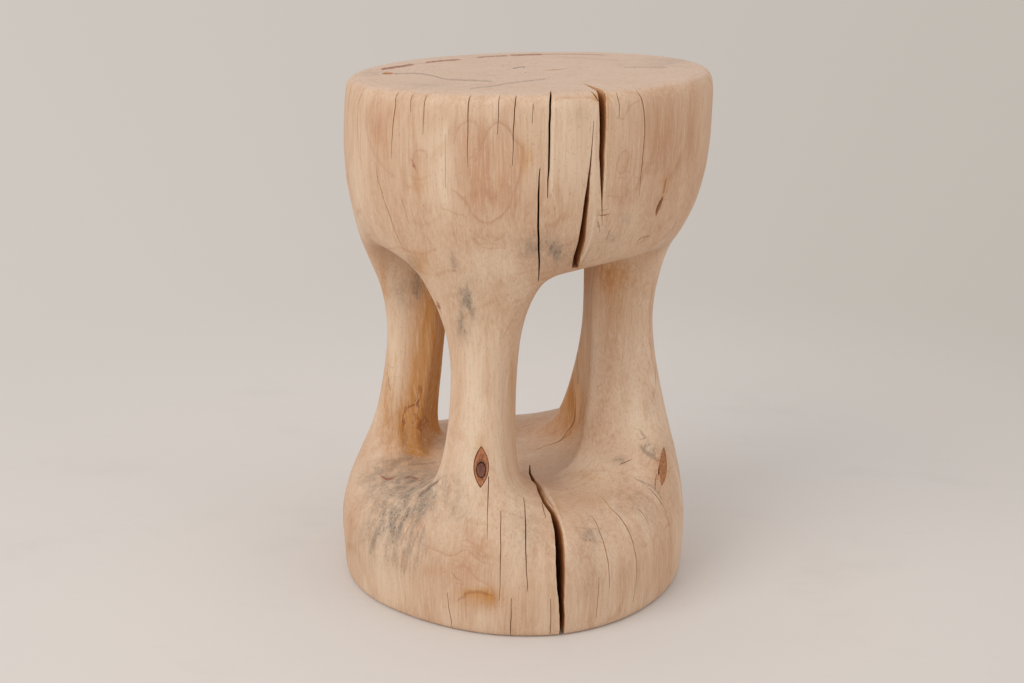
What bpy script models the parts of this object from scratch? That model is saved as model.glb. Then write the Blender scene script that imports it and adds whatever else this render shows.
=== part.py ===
"""A stool carved from one log: a thick seat and a rounded base, joined by three legs round an open heart.

Metres, +Z up, origin on the floor under the middle of the whole stool, front of the stool towards -Y.
An azimuth is in degrees, measured from the front, -Y, and grows towards +X.
"""

import math
from copy import copy
from dataclasses import dataclass, replace

import bmesh
import bpy
from mathutils import Matrix, Vector

# Overall sizes
STOOL_HEIGHT = 0.450
LOG_RADIUS = 0.158
SEAT_DEPTH = 0.140
BASE_HEIGHT = 0.094

# The log leans to the right as it rises, and its top is sawn a little out of square
SEAT_LEAN = 0.0135
SEAT_RISE = 0.0035

# Legs at the waist: how far the outer face and the heart's face stand from the log's centre line, and the width.
# The left leg's heart face leans in as it rises from the base's top, where its reach holds, up to the lean's height
LEFT_LEG_REACH = 0.126
LEFT_LEG_HEART_REACH = 0.093
LEFT_LEG_WIDTH = 0.052
FRONT_LEG_REACH = 0.120
FRONT_LEG_HEART_REACH = 0.060
FRONT_LEG_WIDTH = 0.063
RIGHT_LEG_REACH = 0.121
RIGHT_LEG_HEART_REACH = 0.062
RIGHT_LEG_WIDTH = 0.058
HEART_LEAN_HEIGHT = 0.100

# How far a window's reveal is rounded out between the log's face and the heart
REVEAL_BULGE = 0.005

# Shallow swells and hollows of the log's outline
SWELL_DEPTH = 0.0045

# Drying checks
CHECK_WIDTH = 0.0068
CUT_OVERRUN = 0.012

# Encased knots
FRONT_KNOT_WIDTH = 0.0120
FRONT_KNOT_LENGTH = 0.034
KNOT_CORE_WIDTH = 0.0070
KNOT_CORE_LENGTH = 0.012
KNOT_CORE_DROP = 0.0026
FOOT_KNOT_WIDTH = 0.0100
FOOT_KNOT_LENGTH = 0.036
RIM_KNOT_WIDTH = 0.009
RIM_KNOT_LENGTH = 0.015
KNOT_DEPTH = 0.014
KNOT_GAP = 0.0003
KNOT_SIDES = 16

# How the cage is divided round the log
LEG_FACES = 4
WINDOW_FACES = 8
REVEAL_FACES = 3
SMOOTHING_LEVELS = 1
LEG_EDGE_SHARE = 0.4


@dataclass(frozen=True)
class Leg:
    """A leg: where its faces stand, its width at the waist, and how its head and foot widen, in shares of the width.

    A flare share says how far the outer face stands out there. The foot's edge share says how far down
    towards the base's top the leg's edges have come at its foot. The heart's slope share is of the height
    above the base's top, and says how far the heart's face has leant in there.
    """

    azimuth: float
    heart_azimuth: float
    reach: float
    heart_reach: float
    width: float
    head_widening_share: float
    foot_widening_share: float
    head_flare_share: float
    foot_flare_share: float
    foot_edge_share: float
    heart_slope_share: float = 0.0


LEFT_LEG = Leg(
    azimuth=-109,
    heart_azimuth=-108,
    reach=LEFT_LEG_REACH,
    heart_reach=LEFT_LEG_HEART_REACH,
    width=LEFT_LEG_WIDTH,
    head_widening_share=0.62,
    foot_widening_share=0.12,
    head_flare_share=0.21,
    foot_flare_share=0.0,
    foot_edge_share=0.80,
    heart_slope_share=0.18,
)
FRONT_LEG = Leg(
    azimuth=-18.9,
    heart_azimuth=-18.9,
    reach=FRONT_LEG_REACH,
    heart_reach=FRONT_LEG_HEART_REACH,
    width=FRONT_LEG_WIDTH,
    head_widening_share=0.32,
    foot_widening_share=-0.09,
    head_flare_share=0.07,
    foot_flare_share=0.0,
    foot_edge_share=0.40,
)
RIGHT_LEG = Leg(
    azimuth=104,
    heart_azimuth=100,
    reach=RIGHT_LEG_REACH,
    heart_reach=RIGHT_LEG_HEART_REACH,
    width=RIGHT_LEG_WIDTH,
    head_widening_share=0.31,
    foot_widening_share=0.67,
    head_flare_share=0.02,
    foot_flare_share=0.14,
    foot_edge_share=0.30,
)
LEGS = (LEFT_LEG, FRONT_LEG, RIGHT_LEG)

FACES_PER_LEG = LEG_FACES + WINDOW_FACES
COLUMNS = len(LEGS) * FACES_PER_LEG


@dataclass(frozen=True)
class Row:
    """A ring of a skin, in shares: on the line of a leg, and on the line midway between two legs.

    A reach share runs from the axis, 0, by the waist, 1, to the log's full radius, 2.
    A height share runs from the underside, 0, by the base's top, 1, and the seat's underside, 2, to the top, 3.
    The spread share is of half a leg's width. Head and foot shares say how much of the leg's flare applies.
    """

    leg_reach_share: float
    leg_height_share: float
    web_reach_share: float
    web_height_share: float
    spread_share: float
    head_share: float = 0.0
    foot_share: float = 0.0


OUTER_ROWS = (
    Row(0.62, 0.00, 0.62, 0.00, 1.90),
    Row(1.72, 0.00, 1.72, 0.00, 1.90),
    Row(1.91, 0.00, 1.91, 0.00, 1.90),
    Row(1.95, 0.08, 1.95, 0.08, 1.90),
    Row(1.99, 0.36, 1.99, 0.32, 1.90),
    Row(1.97, 0.64, 1.97, 0.58, 1.85),
    Row(1.79, 0.93, 1.74, 0.83, 1.75, foot_share=0.5),
    Row(1.48, 1.10, 1.39, 0.96, 1.35, foot_share=1.0),
    Row(1.24, 1.23, 0.96, 1.00, 1.05, foot_share=1.0),
    Row(1.06, 1.42, 0.85, 1.42, 0.90, foot_share=0.5),
    Row(1.00, 1.60, 0.85, 1.60, 0.85),
    Row(1.05, 1.78, 0.85, 1.78, 0.90, head_share=0.4),
    Row(1.24, 1.92, 1.05, 1.99, 1.05, head_share=1.0),
    Row(1.54, 2.06, 1.40, 2.02, 1.40, head_share=0.6),
    Row(1.82, 2.26, 1.73, 2.20, 1.75),
    Row(1.95, 2.50, 1.94, 2.46, 1.85),
    Row(1.97, 2.75, 1.97, 2.74, 1.90),
    Row(1.96, 2.91, 1.96, 2.91, 1.90),
    Row(1.88, 2.98, 1.88, 2.98, 1.90),
    Row(1.70, 3.00, 1.70, 3.00, 1.90),
    Row(1.40, 3.00, 1.40, 3.00, 1.90),
    Row(0.66, 3.00, 0.66, 3.00, 1.90),
)
SILL_ROW = 8
HEAD_ROW = 12

# The heart's skin, by the same row numbers, with reach shares of each leg's heart reach
HEART_ROWS = {
    6: Row(0.45, 1.02, 0.45, 1.02, 1.10),
    7: Row(0.90, 1.03, 0.80, 1.01, 1.00, foot_share=0.8),
    8: Row(1.08, 1.11, 0.95, 1.01, 0.80, foot_share=0.8),
    9: Row(1.05, 1.35, 0.95, 1.35, 0.60, foot_share=0.4),
    10: Row(1.00, 1.58, 0.95, 1.58, 0.55),
    11: Row(1.00, 1.79, 0.95, 1.79, 0.60, head_share=0.1),
    12: Row(1.04, 1.94, 0.95, 2.04, 0.80, head_share=0.3),
    13: Row(0.88, 2.04, 0.80, 2.06, 1.00, head_share=0.3),
    14: Row(0.45, 2.08, 0.45, 2.08, 1.10),
}


@dataclass(frozen=True)
class Swell:
    """A shallow swell, or a hollow where its depth share is below zero, in the log's outline."""

    azimuth: float
    half_angle: float
    height_share: float
    half_height_share: float
    depth_share: float


SWELLS = (
    Swell(azimuth=18.0, half_angle=30.0, height_share=0.05, half_height_share=0.20, depth_share=1.0),
    Swell(azimuth=-33.0, half_angle=26.0, height_share=0.05, half_height_share=0.20, depth_share=-1.0),
    Swell(azimuth=-31.0, half_angle=6.0, height_share=0.78, half_height_share=0.12, depth_share=-0.5),
    Swell(azimuth=-100.0, half_angle=50.0, height_share=0.96, half_height_share=0.08, depth_share=-0.6),
    Swell(azimuth=-85.0, half_angle=45.0, height_share=0.17, half_height_share=0.12, depth_share=0.7),
    Swell(azimuth=-85.0, half_angle=35.0, height_share=0.05, half_height_share=0.05, depth_share=-0.5),
    Swell(azimuth=85.0, half_angle=40.0, height_share=0.68, half_height_share=0.06, depth_share=-0.7),
)


@dataclass(frozen=True)
class CheckStation:
    """One height of a drying check, all but its azimuth in shares.

    Heights are shares of the zones that Row uses, and the tip's reach is a share of the log's radius.
    """

    height_share: float
    azimuth: float
    width_share: float
    tip_reach_share: float


CHECKS = {
    "base_check": (
        CheckStation(-0.12, 15.4, 0.60, 0.64),
        CheckStation(0.38, 14.3, 0.95, 0.54),
        CheckStation(0.70, 13.7, 1.00, 0.40),
        CheckStation(0.98, 14.3, 1.35, 0.20),
        CheckStation(1.30, 14.9, 1.35, 0.14),
    ),
    "rim_check": (
        CheckStation(2.28, 22.6, 0.10, 0.97),
        CheckStation(2.40, 22.2, 0.50, 0.90),
        CheckStation(2.55, 21.4, 1.00, 0.80),
        CheckStation(2.75, 20.8, 1.12, 0.74),
        CheckStation(2.95, 20.6, 1.18, 0.77),
        CheckStation(3.10, 20.6, 1.18, 0.80),
    ),
    "seat_check": (
        CheckStation(1.88, 17.8, 0.85, 0.66),
        CheckStation(2.06, 18.2, 0.90, 0.68),
        CheckStation(2.22, 18.4, 0.95, 0.74),
        CheckStation(2.40, 18.2, 0.60, 0.86),
        CheckStation(2.58, 17.8, 0.25, 0.96),
        CheckStation(2.70, 17.6, 0.10, 1.01),
    ),
    "hair_check": (
        CheckStation(2.36, 6.0, 0.10, 0.99),
        CheckStation(2.55, 6.0, 0.32, 0.88),
        CheckStation(2.80, 5.6, 0.36, 0.84),
        CheckStation(3.10, 5.6, 0.30, 0.86),
    ),
}


@dataclass(frozen=True)
class Knot:
    """An encased knot: a plug of another grain that reaches in from the log's face.

    Its line passes through the aim, at a share of what carries it, and comes out rise degrees above level.
    Tilt turns the knot about that line. Pointedness 0 is an oval, 1 a lens.
    """

    azimuth: float
    carrier_reach: float
    aim_reach_share: float
    aim_height_share: float
    rise: float
    width: float
    length: float
    tilt: float
    pointedness: float


FRONT_LEG_KNOT = Knot(
    azimuth=-13.7,
    carrier_reach=FRONT_LEG_REACH,
    aim_reach_share=1.08,
    aim_height_share=1.218,
    rise=14,
    width=FRONT_KNOT_WIDTH,
    length=FRONT_KNOT_LENGTH,
    tilt=2,
    pointedness=0.8,
)
FRONT_LEG_KNOT_CORE = replace(FRONT_LEG_KNOT, width=KNOT_CORE_WIDTH, length=KNOT_CORE_LENGTH, pointedness=0.0)
RIGHT_FOOT_KNOT = Knot(
    azimuth=69,
    carrier_reach=RIGHT_LEG_REACH,
    aim_reach_share=1.136,
    aim_height_share=1.074,
    rise=35,
    width=FOOT_KNOT_WIDTH,
    length=FOOT_KNOT_LENGTH,
    tilt=-49,
    pointedness=0.6,
)
RIM_KNOT = Knot(
    azimuth=-88.3,
    carrier_reach=LOG_RADIUS,
    aim_reach_share=0.75,
    aim_height_share=3,
    rise=90,
    width=RIM_KNOT_WIDTH,
    length=RIM_KNOT_LENGTH,
    tilt=90,
    pointedness=0.0,
)


def mix(first, second, share):
    return first + (second - first) * share


def height_of(share):
    """The height at a height share: 0 underside, 1 base top, 2 seat underside, 3 seat."""
    stops = (0, BASE_HEIGHT, STOOL_HEIGHT - SEAT_DEPTH, STOOL_HEIGHT)
    zone = min(max(int(share), 0), len(stops) - 2)
    return mix(stops[zone], stops[zone + 1], share - zone)


def reach_of(share, waist):
    """The radius at a reach share: 0 axis, 1 waist, 2 full log."""
    if share < 1:
        return share * waist
    return mix(waist, LOG_RADIUS, share - 1)


def swell_at(azimuth, height):
    """How far the log's outline stands out here because of its swells."""
    total = 0.0
    for swell in SWELLS:
        turn = ((azimuth - swell.azimuth + 180) % 360 - 180) / swell.half_angle
        climb = (height / STOOL_HEIGHT - swell.height_share) / swell.half_height_share
        total += swell.depth_share * math.exp(-(turn**2) - climb**2)
    return total * SWELL_DEPTH


def seat_share(height):
    """How far up the seat a height lies: 0 at its underside and below, 1 at the top."""
    return max(0.0, 1 - (STOOL_HEIGHT - height) / SEAT_DEPTH)


def radial(azimuth):
    """The level direction of an azimuth."""
    angle = math.radians(azimuth)
    return Vector((math.sin(angle), -math.cos(angle), 0))


def polar(azimuth, radius, height):
    """A point at an azimuth and radius about the log's leaning centre line."""
    offset = radial(azimuth) * radius
    lean = SEAT_LEAN * (height - STOOL_HEIGHT / 2) / STOOL_HEIGHT
    rise = SEAT_RISE * offset.x / LOG_RADIUS * seat_share(height)
    return offset + Vector((lean, 0, height + rise))


def column_place(column):
    """A column's leg, the next leg, and its place: from -1 to 1 across the leg, then to 3 across the window."""
    index, step = divmod(column, FACES_PER_LEG)
    leg, following = LEGS[index], LEGS[(index + 1) % len(LEGS)]
    if step <= LEG_FACES:
        return leg, following, 2 * step / LEG_FACES - 1
    return leg, following, 1 + 2 * (step - LEG_FACES) / WINDOW_FACES


def leg_spread(leg, row, radius):
    """Half the angle that the leg spans in this row, in degrees."""
    head = row.head_share * leg.head_widening_share
    foot = row.foot_share * leg.foot_widening_share
    return math.degrees(leg.width * (row.spread_share / 2 + head + foot) / radius)


def leg_flare(leg, row):
    """How far the leg's outer face stands out in this row."""
    return leg.width * (row.head_share * leg.head_flare_share + row.foot_share * leg.foot_flare_share)


def web_share_at(leg, following, place, row):
    """How far a point has gone from a leg's line, 0, to the line midway between two legs, 1."""
    nearest = leg if place < 2 else following
    edge_share = mix(LEG_EDGE_SHARE, nearest.foot_edge_share, row.foot_share)
    if place <= 1:
        return edge_share * place**2
    return 1 - (1 - edge_share) * (place - 2) ** 2


def skin_point(column, row, inner):
    """A cage point on the outer skin or, where inner is true, on the heart's."""
    leg, following, place = column_place(column)
    across = max(0.0, (place - 1) / 2)
    web_share = web_share_at(leg, following, place, row)
    pair = (leg, following)
    azimuths = [member.heart_azimuth if inner else member.azimuth for member in pair]
    faces = [member.heart_reach if inner else member.reach for member in pair]
    spreads = [leg_spread(member, row, face) for member, face in zip(pair, faces)]
    if azimuths[1] < azimuths[0]:
        azimuths[1] += 360
    if place <= 1:
        azimuth = azimuths[0] + spreads[0] * place
    else:
        azimuth = mix(azimuths[0] + spreads[0], azimuths[1] - spreads[1], across)
    height = height_of(mix(row.leg_height_share, row.web_height_share, web_share))
    reach_share = mix(row.leg_reach_share, row.web_reach_share, web_share)
    face = mix(faces[0], faces[1], across)
    if inner:
        slope_share = mix(leg.heart_slope_share, following.heart_slope_share, across)
        lean_in = slope_share * min(max(0.0, height - BASE_HEIGHT), HEART_LEAN_HEIGHT)
        return polar(azimuth, reach_share * face - lean_in, height)
    flare = (1 - web_share) * mix(leg_flare(leg, row), leg_flare(following, row), across)
    return polar(azimuth, reach_of(reach_share, face) + swell_at(azimuth, height) + flare, height)


def cage_point(column, row_index, depth):
    """A cage point: depth 0 lies on the outer skin, 1 on the heart's, between them on a window's reveal."""
    if depth == 0:
        return skin_point(column, OUTER_ROWS[row_index], inner=False)
    if depth == 1:
        return skin_point(column, HEART_ROWS[row_index], inner=True)
    point = cage_point(column, row_index, 0).lerp(cage_point(column, row_index, 1), depth)
    window = column // FACES_PER_LEG * FACES_PER_LEG + LEG_FACES + WINDOW_FACES // 2
    if column % FACES_PER_LEG == 0:
        window -= FACES_PER_LEG
    window %= COLUMNS
    middle_row = (SILL_ROW + HEAD_ROW) // 2
    middle = cage_point(window, middle_row, 0).lerp(cage_point(window, middle_row, 1), depth)
    return point + (middle - point).normalized() * REVEAL_BULGE * math.sin(math.pi * depth)


def extrude_rings(bm, count, rings, ring_made):
    """Builds a closed skin by extruding a ring of count points, which ring_made(verts, index) sets."""
    verts = bmesh.ops.create_circle(bm, segments=count, radius=1.0)["verts"]
    edges = list({edge for vert in verts for edge in vert.link_edges})
    ring_made(verts, 0)
    bmesh.ops.contextual_create(bm, geom=edges)
    for index in range(1, rings):
        made = bmesh.ops.extrude_edge_only(bm, edges=edges)["geom"]
        verts = [item for item in made if isinstance(item, bmesh.types.BMVert)]
        rim = set(verts)
        edges = [item for item in made if isinstance(item, bmesh.types.BMEdge) and rim.issuperset(item.verts)]
        ring_made(verts, index)
    bmesh.ops.contextual_create(bm, geom=edges)


class StoolCage:
    """The coarse cage of the whole carving, whose points know their column, row and depth."""

    def __init__(self):
        self.bm = bmesh.new()
        self.column = self.bm.verts.layers.int.new("column")
        self.row = self.bm.verts.layers.int.new("row")
        self.depth = self.bm.verts.layers.float.new("depth")
        self.add_skin(range(len(OUTER_ROWS)), 0)
        self.add_skin(sorted(HEART_ROWS), 1)
        bmesh.ops.delete(self.bm, geom=self.window_faces(), context="FACES")
        self.add_reveals()
        for vert in self.bm.verts:
            vert.co = cage_point(vert[self.column], vert[self.row], vert[self.depth])
        bmesh.ops.recalc_face_normals(self.bm, faces=self.bm.faces)

    def add_skin(self, rows, depth):
        first_ring = []

        def ring_made(verts, index):
            if index == 0:
                first_ring.extend(verts)
                for column, vert in enumerate(verts):
                    vert[self.column] = column
            for vert in verts:
                vert[self.row] = rows[index]
                vert[self.depth] = depth
                vert.co = cage_point(vert[self.column], rows[index], depth)

        extrude_rings(self.bm, COLUMNS, len(rows), ring_made)

    def window_faces(self):
        """The faces of both skins that lie between two legs, from sill to head."""
        found = []
        for face in self.bm.faces:
            steps = [vert[self.column] % FACES_PER_LEG for vert in face.verts]
            rows = [vert[self.row] for vert in face.verts]
            between_legs = all(step >= LEG_FACES or step == 0 for step in steps) and max(steps) > LEG_FACES
            if between_legs and SILL_ROW <= min(rows) < max(rows) <= HEAD_ROW:
                found.append(face)
        return found

    def add_reveals(self):
        """Joins the two skins round each window, with a few rows of faces through the wall."""
        old_faces = set(self.bm.faces)
        open_edges = [edge for edge in self.bm.edges if edge.is_boundary]
        for window in range(len(LEGS)):
            first = window * FACES_PER_LEG + LEG_FACES
            columns = {(first + step) % COLUMNS for step in range(WINDOW_FACES + 1)}
            loops = [edge for edge in open_edges if all(vert[self.column] in columns for vert in edge.verts)]
            bmesh.ops.bridge_loops(self.bm, edges=loops)
        rungs = {
            edge
            for face in set(self.bm.faces) - old_faces
            for edge in face.edges
            if edge.verts[0][self.depth] != edge.verts[1][self.depth]
        }
        bmesh.ops.subdivide_edges(self.bm, edges=list(rungs), cuts=REVEAL_FACES - 1, use_grid_fill=True)


def check_blade(bm, stations):
    """A blade that cuts a drying check: a wedge with its edge towards the pith, lofted through its stations."""

    def ring_made(verts, index):
        station = stations[index]
        height = height_of(station.height_share)
        tip = station.tip_reach_share * LOG_RADIUS
        mouth = LOG_RADIUS + CUT_OVERRUN
        spread = (mouth - tip) / max(LOG_RADIUS - tip, CUT_OVERRUN)
        half_angle = math.degrees(station.width_share * CHECK_WIDTH / 2 * spread / mouth)
        places = (
            (station.azimuth, tip),
            (station.azimuth + half_angle, mouth),
            (station.azimuth - half_angle, mouth),
        )
        for vert, (azimuth, radius) in zip(verts, places):
            vert.co = polar(azimuth, radius, height)

    extrude_rings(bm, 3, len(stations), ring_made)


class KnotLine:
    """A knot's line: where it comes out of the log's face, and its outward, upward and sideways directions."""

    def __init__(self, knot, log_form):
        level = radial(knot.azimuth)
        rise = math.radians(knot.rise)
        self.outward = level * math.cos(rise) + Vector((0, 0, math.sin(rise)))
        self.upward = Vector((0, 0, math.cos(rise))) - level * math.sin(rise)
        self.upward.rotate(Matrix.Rotation(math.radians(knot.tilt), 3, self.outward))
        self.sideways = self.upward.cross(self.outward)
        aim = polar(knot.azimuth, knot.aim_reach_share * knot.carrier_reach, height_of(knot.aim_height_share))
        depsgraph = bpy.context.evaluated_depsgraph_get()
        start = aim + self.outward * LOG_RADIUS
        _, self.face, _, _ = log_form.ray_cast(start, -self.outward, depsgraph=depsgraph)

    def lowered(self, drop):
        """The same line moved down the log's face."""
        moved = copy(self)
        moved.face = self.face - self.upward * drop
        return moved


def knot_plug(bm, knot, line, margin=0.0):
    """A plug that runs from the knot's depth out through the log's face, or cut to take one with a margin."""
    reaches = (-KNOT_DEPTH - margin, CUT_OVERRUN)

    def ring_made(verts, index):
        for side, vert in enumerate(verts):
            angle = 2 * math.pi * side / KNOT_SIDES
            across = (knot.width / 2 + margin) * math.cos(angle) * abs(math.cos(angle)) ** knot.pointedness
            along = (knot.length / 2 + margin) * math.sin(angle)
            vert.co = line.face + line.outward * reaches[index] + line.sideways * across + line.upward * along

    extrude_rings(bm, KNOT_SIDES, 2, ring_made)


def wood_material(name, colour, roughness):
    material = bpy.data.materials.new(name)
    material.use_nodes = True
    shader = material.node_tree.nodes["Principled BSDF"]
    shader.inputs["Base Color"].default_value = (*colour, 1.0)
    shader.inputs["Roughness"].default_value = roughness
    shader.inputs["Metallic"].default_value = 0.0
    return material


def new_object(name, collection, build, *arguments, **options):
    """A named object whose mesh build(bm, ...) makes."""
    bm = bmesh.new()
    build(bm, *arguments, **options)
    bmesh.ops.recalc_face_normals(bm, faces=bm.faces)
    mesh = bpy.data.meshes.new(name)
    bm.to_mesh(mesh)
    bm.free()
    item = bpy.data.objects.new(name, mesh)
    collection.objects.link(item)
    return item


def as_cutter(item):
    item.hide_render = True
    item.display_type = "WIRE"
    return item


def combine(item, other, operation):
    """Cuts item with the other solid, or keeps what both share."""
    modifier = item.modifiers.new(f"{operation.lower()}_{other.name}", "BOOLEAN")
    modifier.operation = operation
    modifier.solver = "EXACT"
    modifier.object = other


def smooth(item):
    smoothing = item.modifiers.new("smoothing", "SUBSURF")
    smoothing.levels = smoothing.render_levels = SMOOTHING_LEVELS


def carved_object(name, collection, cage_mesh):
    item = bpy.data.objects.new(name, cage_mesh)
    collection.objects.link(item)
    smooth(item)
    return item


def add_knot(name, knot, line, material, body, log_form, stool, cutters):
    """Adds a knot, flush with the log's face, in a pocket of the body."""
    plug = new_object(name, stool, knot_plug, knot, line)
    plug.data.materials.append(material)
    combine(plug, log_form, "INTERSECT")
    pocket = as_cutter(new_object(f"{name}_pocket", cutters, knot_plug, knot, line, margin=KNOT_GAP))
    combine(body, pocket, "DIFFERENCE")
    return plug


def add_knots(body, log_form, stool, cutters):
    """Adds the knots to the body, and the front leg's core in a pocket of its bark, on the same line."""
    bark = wood_material("encased_bark", (0.33, 0.12, 0.05), 0.8)
    heartwood = wood_material("dead_knot_wood", (0.12, 0.05, 0.03), 0.7)
    places = (log_form, stool, cutters)
    line = KnotLine(FRONT_LEG_KNOT, log_form)
    sleeve = add_knot("front_leg_knot_bark", FRONT_LEG_KNOT, line, bark, body, *places)
    add_knot("front_leg_knot_core", FRONT_LEG_KNOT_CORE, line.lowered(KNOT_CORE_DROP), heartwood, sleeve, *places)
    line = KnotLine(RIGHT_FOOT_KNOT, log_form)
    add_knot("right_foot_knot", RIGHT_FOOT_KNOT, line, bark, body, *places)
    line = KnotLine(RIM_KNOT, log_form)
    add_knot("rim_knot", RIM_KNOT, line, heartwood, body, *places)


def main():
    for old in list(bpy.data.objects):
        bpy.data.objects.remove(old)
    stool = bpy.data.collections.new("carved_log_stool")
    cutters = bpy.data.collections.new("cutters")
    for collection in (stool, cutters):
        bpy.context.scene.collection.children.link(collection)

    cage_mesh = bpy.data.meshes.new("carved_body")
    cage = StoolCage()
    cage.bm.to_mesh(cage_mesh)
    cage.bm.free()
    cage_mesh.shade_smooth()
    body = carved_object("carved_body", stool, cage_mesh)
    log_form = as_cutter(carved_object("log_form", cutters, cage_mesh.copy()))
    body.data.materials.append(wood_material("sanded_wood", (0.60, 0.43, 0.30), 0.6))

    for name, stations in CHECKS.items():
        combine(body, as_cutter(new_object(name, cutters, check_blade, stations)), "DIFFERENCE")
    add_knots(body, log_form, stool, cutters)


if __name__ == "__main__":
    main()
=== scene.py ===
"""A stool carved from one log, with its growth rings, drying cracks, knots and weather stains.

Metres, +Z up, front of the stool towards -Y. An azimuth is in degrees, measured from the front, -Y, and
grows towards +X. Marks and cracks that the photograph shows are placed by its pixels: a sight line of the
photograph's camera finds where each of them lies on the wood. The others are placed by azimuth and height.
"""

import logging
import math
from collections.abc import Callable, Iterable, Sequence
from dataclasses import dataclass, replace
from enum import Enum
from typing import Any

import bmesh
import bpy
import numpy as np
from mathutils import Euler, Matrix, Vector, noise
from mathutils.bvhtree import BVHTree


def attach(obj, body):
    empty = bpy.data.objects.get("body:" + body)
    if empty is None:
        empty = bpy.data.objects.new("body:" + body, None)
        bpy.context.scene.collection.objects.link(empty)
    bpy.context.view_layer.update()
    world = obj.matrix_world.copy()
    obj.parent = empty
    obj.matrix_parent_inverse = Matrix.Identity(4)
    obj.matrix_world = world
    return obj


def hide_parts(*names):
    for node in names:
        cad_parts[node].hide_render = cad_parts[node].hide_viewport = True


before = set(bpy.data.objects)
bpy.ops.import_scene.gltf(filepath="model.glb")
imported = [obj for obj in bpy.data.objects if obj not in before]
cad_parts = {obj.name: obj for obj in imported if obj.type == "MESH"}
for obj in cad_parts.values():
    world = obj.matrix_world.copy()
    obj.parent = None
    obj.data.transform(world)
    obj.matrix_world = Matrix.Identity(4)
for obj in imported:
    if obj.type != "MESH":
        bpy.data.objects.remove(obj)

log = logging.getLogger("carved_log_stool")

BODY = "root"

# Attributes of the pieces, besides those of the tones and lines
END_GRAIN = "end_grain"
INSIDE = "inside"
FROM_CENTRE = "from_centre"

# Overall sizes
STOOL_HEIGHT = 0.450
LOG_RADIUS = 0.158
SEAT_DEPTH = 0.140
BASE_HEIGHT = 0.094
SEAT_LEAN = 0.0135
SEAT_RISE = 0.0035

# Legs at the waist. The left leg's heart face leans in as it rises from the base, up to the lean's height
LEFT_LEG_REACH = 0.126
LEFT_LEG_HEART_REACH = 0.093
LEFT_LEG_WIDTH = 0.052
FRONT_LEG_REACH = 0.120
FRONT_LEG_HEART_REACH = 0.060
FRONT_LEG_WIDTH = 0.063
RIGHT_LEG_REACH = 0.121
RIGHT_LEG_HEART_REACH = 0.062
RIGHT_LEG_WIDTH = 0.058
HEART_LEAN_HEIGHT = 0.100
REVEAL_BULGE = 0.005
SWELL_DEPTH = 0.0045

# Hand carving: how far the sanded surface wanders from a true curve, and over what length
FACET_DEPTH = 0.0007
FACET_LENGTH = 0.055
RIPPLE_DEPTH = 0.00018
RIPPLE_LENGTH = 0.014
FLAT_FOOT_HEIGHT = 0.004

# Cracks: the width that the width shares multiply, the depths, and how far a blade stands out of the wood
CRACK_WIDTH = 0.00085
HAIRLINE_DEPTH = 0.006
CRACK_DEPTH = 0.016
CHECK_DEPTH = 0.050
KNOT_HOLE_DEPTH = 0.016
HAIRLINE_OVERRUN = 0.004
CHECK_OVERRUN = 0.010
STATION_SPACING = 0.0045
OPEN_END_LENGTH = 0.014
WANDER_WIDTH = 0.00045
WANDER_LENGTH = 0.012

# Knots
FRONT_KNOT_WIDTH = 0.0120
FRONT_KNOT_LENGTH = 0.034
KNOT_CORE_WIDTH = 0.0070
KNOT_CORE_LENGTH = 0.012
KNOT_CORE_DROP = 0.0026
FOOT_KNOT_WIDTH = 0.0100
FOOT_KNOT_LENGTH = 0.036
RIM_KNOT_WIDTH = 0.009
RIM_KNOT_LENGTH = 0.015
KNOT_DEPTH = 0.014
KNOT_GAP = 0.0004
KNOT_CORE_DEPTH = KNOT_DEPTH / 2 - KNOT_GAP
KNOT_OVERRUN = 0.012
KNOT_SINK = 0.0005
KNOT_RELIEF = 0.0004

# Growth rings: where the pith crosses the floor, how far it leans by the top, and how far rings stand apart
PITH_X = 0.005
PITH_Y = 0.004
PITH_LEAN = 0.030
RING_SPACING = 0.0075

# How far over the wood marks and strokes reach, how sharply a mark ends, and how a stroke's corners are cut
MARK_REACH = 0.090
MARK_EDGE_POWER = 4
STROKE_REACH = 0.035
CORNER_CUTS = 2
CORNER_CUT_SHARE = 0.25

# Least lengths and squares that are divided by, and the middle of a noise between 0 and 1
LEAST_LENGTH = 1e-6
LEAST_SQUARE = 1e-9
NOISE_MIDDLE = 0.5

# How the cage is divided round the log, and how finely it is smoothed
LEG_FACES = 4
WINDOW_FACES = 8
REVEAL_FACES = 3
SMOOTHING_LEVELS = 3
LEG_EDGE_SHARE = 0.4

Colour = tuple[float, float, float]
Pixel = tuple[float, float]


def mix(first: float, second: float, share: float) -> float:
    """The value that lies a share of the way from the first to the second."""
    return first + (second - first) * share


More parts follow.
